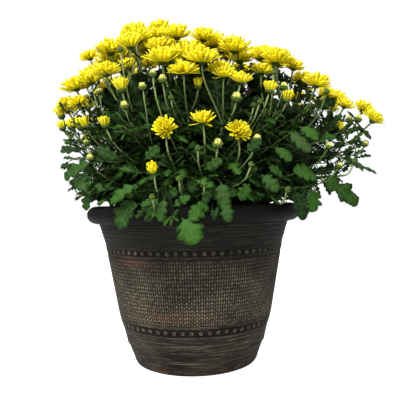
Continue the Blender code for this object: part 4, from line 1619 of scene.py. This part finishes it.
@dataclass
class Shoot:
    """A shoot of the plant. It holds what is shared by the shoots in the dome and those at the side."""

    rng: random.Random
    finishes: dict[str, list[Material]]
    index: int
    stems: list[Array] = field(default_factory=list)
    placed: list[tuple[Array, PlacedLeaf]] = field(default_factory=list)

    def piece(self, sketch: Sketch, name: str, slot: str, node: str = "") -> Piece:
        """Build one of the shoot's pieces with its number in its names, and dress it."""
        number = f"_{self.index + 1:02d}"
        return dress(sketch.build(name + number, self.finishes[slot]), node and node + number)

    def main_stem(self, greens: Greens, tip_radius: float, paleness: float = 1.0) -> None:
        """Add the shoot's own stem, from inside the soil to its end.

        Args:
            greens: The shoot's greens.
            tip_radius: The stem's radius at its end.
            paleness: How pale it is beside the usual.
        """
        path = self.stems[0]
        below = as_array(self.foot) - (0.0, 0.0, PLAN.foot_depth)
        radii = np.concatenate([[STEM_RADIUS], np.linspace(STEM_RADIUS, tip_radius, len(path))])
        greens.add_stem(np.concatenate([[below], path]), radii, 8, paleness)

    def nearest_point(self, leaf: PlacedLeaf) -> tuple[float, Array]:
        """The best point on this shoot's stems to carry a placed leaf.

        Args:
            leaf: The leaf.

        Returns:
            How far off that point is, with a surcharge where it is above the leaf, and the point.
        """
        points = np.concatenate([np.concatenate([stem[:-1] + (stem[1:] - stem[:-1]) * share
                                                 for share in (0.0, 0.5)]) for stem in self.stems])
        points = points[points[:, 2] > PLAN.soil_edge[1] + 0.012]
        gaps = points - np.array(leaf.base)
        cost = np.linalg.norm(gaps, axis=1) + 0.8 * np.maximum(gaps[:, 2], 0.0)
        best = int(np.argmin(cost))
        return float(cost[best]), points[best]

    def add_placed(self, greens: Greens) -> None:
        """Add the placed leaves that this shoot carries."""
        for root, leaf in self.placed:
            greens.add_placed_leaf(root, leaf)

    def leaves_up(self, greens: Greens, shape: LeafShape, path: Array, count: int, span: tuple[float, float],
                  lengths: tuple[float, float], rise: tuple[float, float]) -> None:
        """Set leaves up a stem at the golden angle.

        Args:
            greens: The mesh that gets them.
            shape: The kind of leaf.
            path: The stem's centre line.
            count: How many leaves.
            span: Where on the path they start and stop, as shares.
            lengths: Leaf length at the start and the end of the path.
            rise: How steeply they set out, least and most.
        """
        turn = self.rng.uniform(0, 2 * math.pi)
        for index in range(count):
            share = span[0] + (span[1] - span[0]) * (index + self.rng.uniform(0.3, 0.7)) / count
            root = point_on(path, share)[0]
            angle = turn + GOLDEN_ANGLE * index + self.rng.uniform(-0.3, 0.3)
            way = heading(angle, self.rng.uniform(*rise)).normalized()
            length = (lengths[0] + (lengths[1] - lengths[0]) * share) * self.rng.uniform(0.8, 1.15)
            greens.grow_leaf(shape, root, way, length, self.rng.uniform(0.1, 0.4), self.rng.random() ** 1.6)


@dataclass
class MainShoot(Shoot):
    """A shoot of the dome: a leafy stem, and the spray of flower heads that it carries."""

    heads: list[FlowerHead] = field(default_factory=list)
    extra: list[FlowerHead] = field(default_factory=list)
    bend: tuple[float, float] = (0.45, 0.018)
    hub_leaves: int = 9
    twigs: tuple[tuple[float, float, float], ...] = (
        (0.26, 0.72, 0.200), (0.40, 0.86, 0.216), (0.52, 0.93, 0.236), (0.66, 0.94, 0.256), (0.82, 0.92, 0.272))
    far_twigs: tuple[tuple[float, float, float], ...] = (
        (0.40, 0.90, 0.206), (0.52, 0.80, 0.226), (0.66, 0.98, 0.244), (0.78, 0.85, 0.262), (0.88, 0.95, 0.280),
        (0.60, 0.88, 0.252), (0.72, 1.00, 0.264), (0.80, 0.90, 0.288))

    def __post_init__(self) -> None:
        """Plan the stem and its twigs."""
        plan = PLAN.shoot_plan(self.index)
        self.foot = PLAN.foot_at(plan, PLAN.crown_radius * plan.length)
        middle = sum((head.point for head in self.heads), Vector()) / len(self.heads)
        self.node = self.foot.lerp(middle, PLAN.node_share)
        control = self.foot.lerp(self.node, self.bend[0]) + UP * self.bend[1]
        collar = self.foot + UP * PLAN.foot_collar
        path = bezier(as_array(collar), as_array(control), as_array(self.node), np.linspace(0, 1, 9))
        self.stems = [path]
        if plan.length < 0.5:
            return
        outward = math.atan2(path[-1][1], path[-1][0] - PLAN.dome_centre_x)
        is_far = path[-1][0] > 0.06
        for share, reach, height in self.twigs + (self.far_twigs if is_far else ()):
            root = path[int(share * 8)]
            azimuth = outward + self.rng.uniform(-0.5, 0.5)
            edge = PLAN.dome_radius(azimuth) * reach * self.rng.uniform(0.86, 1.0)
            end = np.array([PLAN.dome_centre_x + edge * math.cos(azimuth), edge * math.sin(azimuth),
                            height + self.rng.uniform(-0.008, 0.010)])
            control = root * 0.5 + end * 0.5 + np.array([0.0, 0.0, 0.04 * float(np.linalg.norm(end - root))])
            twig = bezier(root, control, end, np.linspace(0, 1, 6))
            if clears_pot(twig[2:], 0.0):
                self.stems.append(twig)

    def build(self) -> list[Piece]:
        """Build the shoot's pieces.

        Returns:
            The leafy stem, the spray's greens and its petals.
        """
        path = self.stems[0]
        stem = Greens(self.rng)
        self.main_stem(stem, 1.5 * MM)
        self.leaves_up(stem, STEM_LEAF, path, 13, (0.20, 0.8), (0.046, 0.034), (0.0, 1.0))
        self.leaves_up(stem, SPRAY_LEAF, path, 8, (0.55, 1.0), (0.034, 0.024), (0.2, 1.4))
        for index in range(self.hub_leaves):
            away = heading(GOLDEN_ANGLE * index + self.index)
            root = path[7] if index % 2 else path[8]
            length = self.rng.uniform(0.038, 0.056) * (1.2 if path[8][0] > 0.03 else 1.0)
            tip = root + np.array(away + UP * self.rng.uniform(0.6, 2.0)) * 0.55 * length
            stem.add_leaf(STEM_LEAF, root, (root + tip) / 2 + np.array(away) * 0.1 * length, tip,
                          np.array(away + UP * 0.2), self.rng.uniform(0.0, 0.3), 0.0, 1.1)
        for twig in self.stems[1:]:
            stem.add_stem(twig, np.linspace(1.1, 0.5, len(twig)) * MM, 6, 0.3)
            is_high = twig[-1][2] > 0.232 and twig[-1][0] < 0.10
            lengths = (0.032, 0.022) if is_high else (0.040, 0.027)
            self.leaves_up(stem, SPRAY_LEAF if is_high else STEM_LEAF, twig, 11, (0.20, 0.98), lengths, (0.0, 1.1))
            self.leaves_up(stem, SPRAY_LEAF, twig, 6, (0.6, 1.0), (0.024, 0.016), (0.2, 1.4))
        self.add_placed(stem)
        leafy = self.piece(stem.sketch, "leaves_and_stem", "foliage", "leafy_stem")

        spray, flowers = Greens(self.rng), Sketch(PETAL_VALUES)
        hub = as_array(self.node)
        end = hub + as_array((self.node - Vector(path[-2])).normalized()) * 0.006
        spray.add_stem(np.array([hub, end]), np.array([1.55, 1.4]) * MM, 8)
        for number, head in enumerate(self.heads + self.extra):
            self.add_stalk(spray, head, (0.8, 1.7)[number % 2])
            head.draw_cup(spray)
            head.draw_petals(flowers, self.rng)
        return [leafy, self.piece(spray.sketch, "spray_greens", "foliage"),
                self.piece(flowers, "spray_petals", "petals", "flower_spray")]

    def add_stalk(self, greens: Greens, head: FlowerHead, slope: float) -> None:
        """Add a flower stalk with its small leaves.

        Args:
            greens: The mesh that gets it.
            head: The head that it carries.
            slope: How steeply it should rise, which sets how far down the stem it starts.
        """
        path, neck = self.stems[0], as_array(head.neck)
        drop = slope * float(np.linalg.norm((neck - path[-1])[:2]))
        share = float(np.clip((neck[2] - drop - path[0][2]) / (path[-1][2] - path[0][2]), 0.22, 1.0))
        root, tangent = point_on(path, share)
        root = root + tangent * 0.0035 * share
        reach = float(np.linalg.norm(neck - root))
        first, last = root + tangent * 0.20 * reach, neck - as_array(head.facing) * 0.30 * reach
        shares = np.linspace(0, 1, 8)
        stalk = (bezier(root, first, last, shares) * (1 - shares)[:, None]
                 + bezier(first, last, neck, shares) * shares[:, None])
        radii = np.interp(shares, (0, 0.5, 0.93, 1.0), (1.05, 0.85, 0.85, 1.15)) * MM
        radii = radii * (0.8 + 0.2 * min(1.0, head.radius / 0.012))
        greens.add_stem(stalk, radii, 6, 0.15 if neck[0] > 0.12 else 1.1)
        turn = self.rng.uniform(0, 2 * math.pi)
        count = 2 + int(reach / (0.018 if head.radius < 0.006 else 0.013))
        for index in range(count):
            share = (index + self.rng.uniform(0.2, 0.9)) / (count + 0.6)
            way = heading(turn + GOLDEN_ANGLE * index, self.rng.uniform(0.5, 2.0)).normalized()
            length = (0.027 - 0.015 * share) * self.rng.uniform(0.7, 1.25)
            greens.grow_leaf(SPRAY_LEAF if share < 0.5 else BRACT_LEAF, point_on(stalk, share)[0], way, length,
                             self.rng.uniform(0.0, 0.25), self.rng.random() ** 1.5)


@dataclass
class SideShoot(Shoot):
    """A shoot that leans out over the lip, with its leaves and one flower or bud."""

    bend: tuple[float, float] = (0.32, 0.052)
    lean: float = 0.9
    neck_length: float = 0.022

    def __post_init__(self) -> None:
        """Plan the stem and the head."""
        end, radius = in_metres(PLAN.side_shoots[self.index])
        self.foot = PLAN.side_foot(self.index, end)
        control = self.foot.lerp(end, self.bend[0])
        control.z = self.foot.z + self.bend[1]
        facing = (UP + (end - control).normalized() * self.lean).normalized()
        neck = end - facing * self.neck_length
        collar = self.foot + UP * PLAN.foot_collar
        self.stems = [bezier(as_array(collar), as_array(control), as_array(neck), np.linspace(0, 1, 9))]
        stage = SIDE_STAGES.get(self.index, stage_for(radius))
        size = {Stage.YOUNG: 1.04, Stage.OPEN: 0.95, Stage.GREEN_BUD: 0.72}.get(stage, 1.0) * radius
        outward = Vector((end.x, end.y, 0.0)).normalized() * FACED_OUTWARD.get(self.index, 0.0)
        shift = Vector([part / 1000 for part in HEAD_SHIFT.get(self.index, (0, 0, 0))])
        self.head = FlowerHead(end + shift, (facing + outward).normalized(), size, stage)

    def build(self) -> list[Piece]:
        """Build the shoot's pieces.

        Returns:
            Its greens and its petals.
        """
        path, is_seen = self.stems[0], self.index < 4
        greens, flowers = Greens(self.rng), Sketch(PETAL_VALUES)
        self.main_stem(greens, 1.05 * MM, 0.3 if is_seen else 0.0)
        start, end = path[-1], as_array(self.head.neck)
        bend = start + unit(path[-1] - path[-2]) * float(np.linalg.norm(end - start)) * 0.5
        greens.add_stem(bezier(start, bend, end, np.linspace(0, 1, 5)), np.array([1.05, 0.95, 0.9, 0.9, 1.1]) * MM, 6)
        self.leaves_up(greens, STEM_LEAF, path, 12 if is_seen else 18, (0.20, 0.85), (0.040, 0.028), (0.0, 1.0))
        self.leaves_up(greens, SPRAY_LEAF, path, 7 if is_seen else 14, (0.50, 1.0), (0.030, 0.018), (0.2, 1.4))
        self.add_placed(greens)
        self.head.draw_cup(greens)
        self.head.draw_petals(flowers, self.rng)
        return [self.piece(greens.sketch, "side_greens", "foliage", "side_shoot"),
                self.piece(flowers, "side_petals", "petals")]


# For side shoots at the front, by their place in the plan: how much the head turns outward, its stage where
# the radius alone would give another one, and how far in mm the photograph shows it from its solid
FACED_OUTWARD = {0: 0.3, 1: 1.9, 2: -0.1, 3: 1.0}
SIDE_STAGES = {0: Stage.CUPPED, 1: Stage.OPEN, 3: Stage.OPEN}
HEAD_SHIFT = {0: (-2.5, 0, 6.8), 1: (-3.6, 0, 10.5), 2: (-1.4, 0, 12.8), 3: (1.0, 0, 10.5)}
# A packed head has the first stage whose limit is above its radius, or else it is open
STAGE_RADII = ((0.005, Stage.GREEN_BUD), (0.0085, Stage.HALF_OPEN), (0.0115, Stage.CUPPED), (0.0128, Stage.YOUNG))


def stage_for(radius: float) -> Stage:
    """The stage that a packed head of this radius has."""
    return next((stage for limit, stage in STAGE_RADII if radius < limit), Stage.OPEN)


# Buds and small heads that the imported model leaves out: the middle of each face and its radius in mm, and its stage
YELLOW, GREEN = CLOSED_STAGES
HALF, CUPPED, OPEN = Stage.HALF_OPEN, Stage.CUPPED, Stage.OPEN
SMALL_BUDS: tuple[tuple[Any, ...], ...] = (
    (-155, -20, 298, 7, HALF), (-154, -20, 284, 6.6, HALF), (-148, -30, 313, 10.5, OPEN),
    (181, -35, 305, 11.2, OPEN), (-136, -50, 280, 7, HALF), (-117, -60, 281, 8.5, CUPPED),
    (-132, -40, 312, 11.5, OPEN), (-100, -60, 340, 7.5, CUPPED), (-66, -90, 336, 7.8, CUPPED),
    (-71, -20, 393, 13, OPEN), (34, -60, 362, 8.5, CUPPED), (87, -20, 368, 12.5, OPEN), (106, 0, 373, 13, OPEN),
    (122, -30, 352, 12, OPEN), (161, -30, 320, 12, OPEN), (176, -20, 316, 13, OPEN), (-121, -20, 369, 11.5, OPEN),
    (79, -70, 337, 13, OPEN), (97, -90, 310, 4.5, YELLOW), (145, -60, 300, 4, YELLOW),
    (186, -30, 285, 4.5, YELLOW), (-48, -116, 305, 4.2, YELLOW), (-28, -121, 311, 4.5, YELLOW),
    (-66, -116, 287, 4.5, YELLOW), (-107, -87, 239, 4.2, YELLOW), (63, -127, 251, 4.2, YELLOW),
    (144, -87, 247, 3.8, YELLOW), (155, -87, 226, 3.6, YELLOW), (194, -57, 252, 3.6, YELLOW),
    (7, -106, 310, 6.5, HALF), (44, -126, 292, 5.5, YELLOW), (24.5, -130, 247, 5.2, YELLOW),
    (194, -36, 285, 5, YELLOW), (5, -137, 240, 2.6, GREEN), (-13, -147, 211, 2.5, GREEN),
    (10, -147, 207, 2.8, GREEN), (-38, -147, 195, 2.5, GREEN), (55, -137, 224, 2.6, GREEN),
    (-20, -118, 292, 2.6, GREEN), (68, -112, 288, 2.6, GREEN),
)


@dataclass
class Chrysanthemum:
    """The plant: every shoot of the plan, built with its own random source."""

    swell: float = 1.05
    uprightness: float = 0.55
    # How much higher than their solids the photograph shows the heads of the dome, from left to right
    rises: tuple[tuple[float, float], ...] = (
        (-0.125, -0.004), (-0.112, -0.017), (-0.096, -0.016), (-0.085, 0.006), (-0.060, 0.009), (-0.040, 0.003),
        (-0.012, -0.003), (0.004, -0.010), (0.050, -0.005), (0.065, 0.004), (0.080, 0.010), (0.100, 0.014),
        (0.118, 0.011), (0.150, 0.009), (0.190, 0.008))
    # The same for the solids at known places: mm to the right, mm up and a factor on the size
    landmark_moves: tuple[tuple[float, float, float], ...] = (
        (0, 0, 0.9), (0, 3, 0.92), (0, 7, 0.92), (3, 3, 0.88), (-7, 7, 0.88), (-1, 4, 0.9), (0, 1, 0.78),
        (-5.5, 1, 1.12), (0, 0, 1.0), (8, 3.5, 1.0), (2, 1, 1.0))
    loose_buds: int = 2

    def finishes(self) -> dict[str, list[Material]]:
        """The plant's finishes for each slot, in the order that the meshes number them.

        Returns:
            A list of materials for each slot's name.
        """
        closed = Petal("chrysanthemum_closed_ray_floret", "b9b544", "e3d94e", "efe78a", "a9ac4a")
        return {"foliage": [ChrysanthemumLeaf().material(), YoungStem().material(), BudScales().material()],
                "petals": [Petal().material(), closed.material()]}

    def grouped_heads(self) -> list[list[FlowerHead]]:
        """The flower heads that each main shoot carries.

        Returns:
            A list of heads for each main shoot, in the shoots' order.
        """
        groups: list[list[FlowerHead]] = [[] for _ in range(PLAN.main_shoots)]
        for point, radius in PLAN.heads():
            stage = stage_for(radius)
            place, size = self.settled(point, radius)
            groups[self.nearest_shoot(point)].append(FlowerHead(place, self.facing(point), size, stage))
        return groups

    def settled(self, point: Vector, radius: float) -> tuple[Vector, float]:
        """Where a finished head sits and its radius, for a solid's point and radius.

        Args:
            point: The solid head's point.
            radius: Its radius.

        Returns:
            The point and the radius.
        """
        for (landmark, _), (aside, rise, factor) in zip(map(in_metres, PLAN.landmark_heads), self.landmark_moves):
            if (landmark - point).length < MM:
                return point + Vector((aside, 0.0, rise)) * MM, radius * factor
        return point + UP * float(np.interp(point.x, *zip(*self.rises))), radius * self.swell

    def facing(self, point: Vector) -> Vector:
        """The way that a finished head looks, more upright than its solid except at the far right."""
        share = 1.0 - self.uprightness * float(smooth(0.200, 0.150, point.x))
        return UP.lerp(PLAN.facing(point), share).normalized()

    def nearest_shoot(self, point: Vector) -> int:
        """The main shoot that is nearest to a point in plan."""
        place = PLAN.place_in_dome(point)
        return min(range(PLAN.main_shoots), key=lambda index: (PLAN.shoot_plan(index) - place).length)

    def buds_of(self, index: int, heads: list[FlowerHead], rng: random.Random) -> list[FlowerHead]:
        """The small buds of a main shoot: those at known places, and a few under its own heads.

        Args:
            index: The shoot's number.
            heads: Its flower heads.
            rng: Its random source.

        Returns:
            The buds.
        """
        buds = []
        for *row, stage in SMALL_BUDS:
            point, radius = in_metres(row)
            if self.nearest_shoot(point) == index:
                facing = (PLAN.facing(point) + UP * (0.5 if stage is OPEN else 0.8)).normalized()
                buds.append(FlowerHead(point, facing, radius, stage))
        for head in rng.sample(heads, min(self.loose_buds, len(heads))):
            aside = heading(rng.uniform(0, 2 * math.pi)) * rng.uniform(0.014, 0.024)
            point = head.point + aside - UP * rng.uniform(0.014, 0.032)
            stage = rng.choice((YELLOW, GREEN, GREEN))
            size = rng.uniform(0.0034, 0.0042) if stage is YELLOW else rng.uniform(0.0022, 0.0030)
            buds.append(FlowerHead(point, (head.facing + UP).normalized(), size, stage))
        return buds

    def build(self) -> list[Piece]:
        """Build every shoot.

        Returns:
            All the plant's pieces.
        """
        finishes = self.finishes()
        shoots: list[Shoot] = []
        for index, heads in enumerate(self.grouped_heads()):
            rng = random.Random(100 + index)
            extra = self.buds_of(index, heads, rng)
            shoots.append(MainShoot(rng, finishes, index, heads=heads, extra=extra))
        shoots += [SideShoot(random.Random(200 + index), finishes, index) for index in range(len(PLAN.side_shoots))]
        leaves = [PlacedLeaf.from_row(row) for row in SEEN_LEAVES]
        leaves += [PlacedLeaf.from_row((*row[:6], 72, row[6], 30), is_small=True) for row in SPRIGS]
        for leaf in leaves + Skirt().leaves():
            shoot = min(shoots, key=lambda shoot: shoot.nearest_point(leaf)[0])
            shoot.placed.append((shoot.nearest_point(leaf)[1], leaf))
        return [piece for shoot in shoots for piece in shoot.build()]


# The studio


@dataclass
class Studio:
    """A pale floor, soft light and the camera of the photograph."""

    frame_pixels: int = 416
    focal_pixels: float = 470.0
    distance: float = 0.577
    height: float = 0.185
    pitch: float = math.radians(0.41)
    roll: float = math.radians(1.13)
    axis_pixel: float = 193.75
    sensor: float = 36.0
    floor_glow: float = 0.8

    def build_camera(self) -> None:
        """Set the camera so that the pot's axis and horizon fall where the photograph has them."""
        data = bpy.data.cameras.new("studio_camera")
        data.sensor_width = self.sensor
        data.lens = self.focal_pixels / self.frame_pixels * self.sensor
        data.dof.use_dof = False
        yaw = math.atan((self.frame_pixels / 2 - self.axis_pixel) / self.focal_pixels)
        ahead = Vector((math.sin(yaw) * math.cos(self.pitch), math.cos(yaw) * math.cos(self.pitch),
                        -math.sin(self.pitch)))
        level = ahead.cross(UP).normalized()
        upright = level.cross(ahead)
        right = level * math.cos(self.roll) - upright * math.sin(self.roll)
        above = level * math.sin(self.roll) + upright * math.cos(self.roll)
        camera = put("studio_camera", data)
        camera.matrix_world = (Matrix.Translation((0.0, -self.distance, self.height))
                               @ Matrix((right, above, -ahead)).transposed().to_4x4())
        bpy.context.scene.camera = camera

    def add_lamp(self, name: str, place: Vector, aim: Vector, size: float, power: float) -> None:
        """Add one soft box.

        Args:
            name: The lamp's name.
            place: Where it stands.
            aim: What it points at.
            size: Its side.
            power: Its power in watts.
        """
        data = bpy.data.lights.new(name, "AREA")
        data.shape = "SQUARE"
        data.size = size
        data.energy = power
        lamp = put(name, data)
        lamp.location = place
        lamp.rotation_euler = (aim - place).to_track_quat("-Z", "Y").to_euler()

    def build_world(self) -> None:
        """White all round for the camera. As light it is a wide soft box overhead, dim at the horizon."""
        world = bpy.data.worlds.new("white_studio")
        bpy.context.scene.world = world
        world.use_nodes = True
        tree = world.node_tree
        tree.nodes.clear()
        path = add_node(tree, "ShaderNodeLightPath")
        place = add_node(tree, "ShaderNodeTexCoord")
        way = add_node(tree, "ShaderNodeSeparateXYZ", {}, {0: place.outputs["Generated"]})
        height = add_node(tree, "ShaderNodeMapRange", {}, {
            "Value": way.outputs["Z"], "From Min": 0.0, "From Max": 0.9, "To Min": 0.02, "To Max": 1.45})
        white = linear("ffffff")
        light, seen = (add_node(tree, "ShaderNodeBackground", {}, {"Color": white, "Strength": strength})
                       for strength in (height.outputs[0], 1.0))
        both = add_node(tree, "ShaderNodeMixShader", {}, {
            0: path.outputs["Is Camera Ray"], 1: light.outputs[0], 2: seen.outputs[0]})
        add_node(tree, "ShaderNodeOutputWorld", {}, {"Surface": both.outputs[0]})

    def build_floor(self) -> None:
        """A wide, pale, matt floor, lit a little from below like a light table."""
        sketch = Sketch(("relief",))
        grid = lathe(np.array([0.001, 0.5, 1.0, 2.0, 4.0]), np.full(5, -0.1 * MM), 64)
        sketch.add_grids(grid[:, :, ::-1], is_capped=False)
        wiring = Wiring("seamless_paper_white")
        glow = wiring.math("MULTIPLY", wiring.node("LightPath", "Is Camera Ray"), self.floor_glow)
        paper = wiring.finish({"Base Color": linear("bcbcbc"), "Roughness": 0.9,
                               "Emission Color": linear("ffffff"), "Emission Strength": glow})
        sketch.build("studio_floor", [paper])

    def build(self) -> None:
        """Build the studio."""
        self.build_camera()
        self.build_world()
        self.build_floor()
        aim = Vector((0.0, 0.0, 0.22))
        self.add_lamp("key_overhead", Vector((-0.6, -1.0, 1.4)), aim, 0.8, 36.0)
        self.add_lamp("fill_front", Vector((-0.4, -1.8, 0.6)), aim, 0.8, 7.0)
        self.add_lamp("fill_back", Vector((0.3, 1.6, 1.2)), aim, 1.2, 12.0)
        bpy.context.scene.view_settings.view_transform = "Standard"


def main() -> None:
    """Build the planter, the soil, the plant and the studio, and report each piece."""
    logging.basicConfig(level=logging.INFO, format="%(name)s: %(message)s")
    planter = Planter()
    pieces = planter.build() + SoilBed(planter).build() + Chrysanthemum().build()
    Studio().build()
    triangles = 0
    for piece in pieces:
        count = sum(len(face.vertices) - 2 for face in piece.data.polygons)
        triangles += count
        log.info("%s: %d triangles", piece.name, count)
    log.info("%d pieces, %d triangles", len(pieces), triangles)


if __name__ == "__main__":
    main()
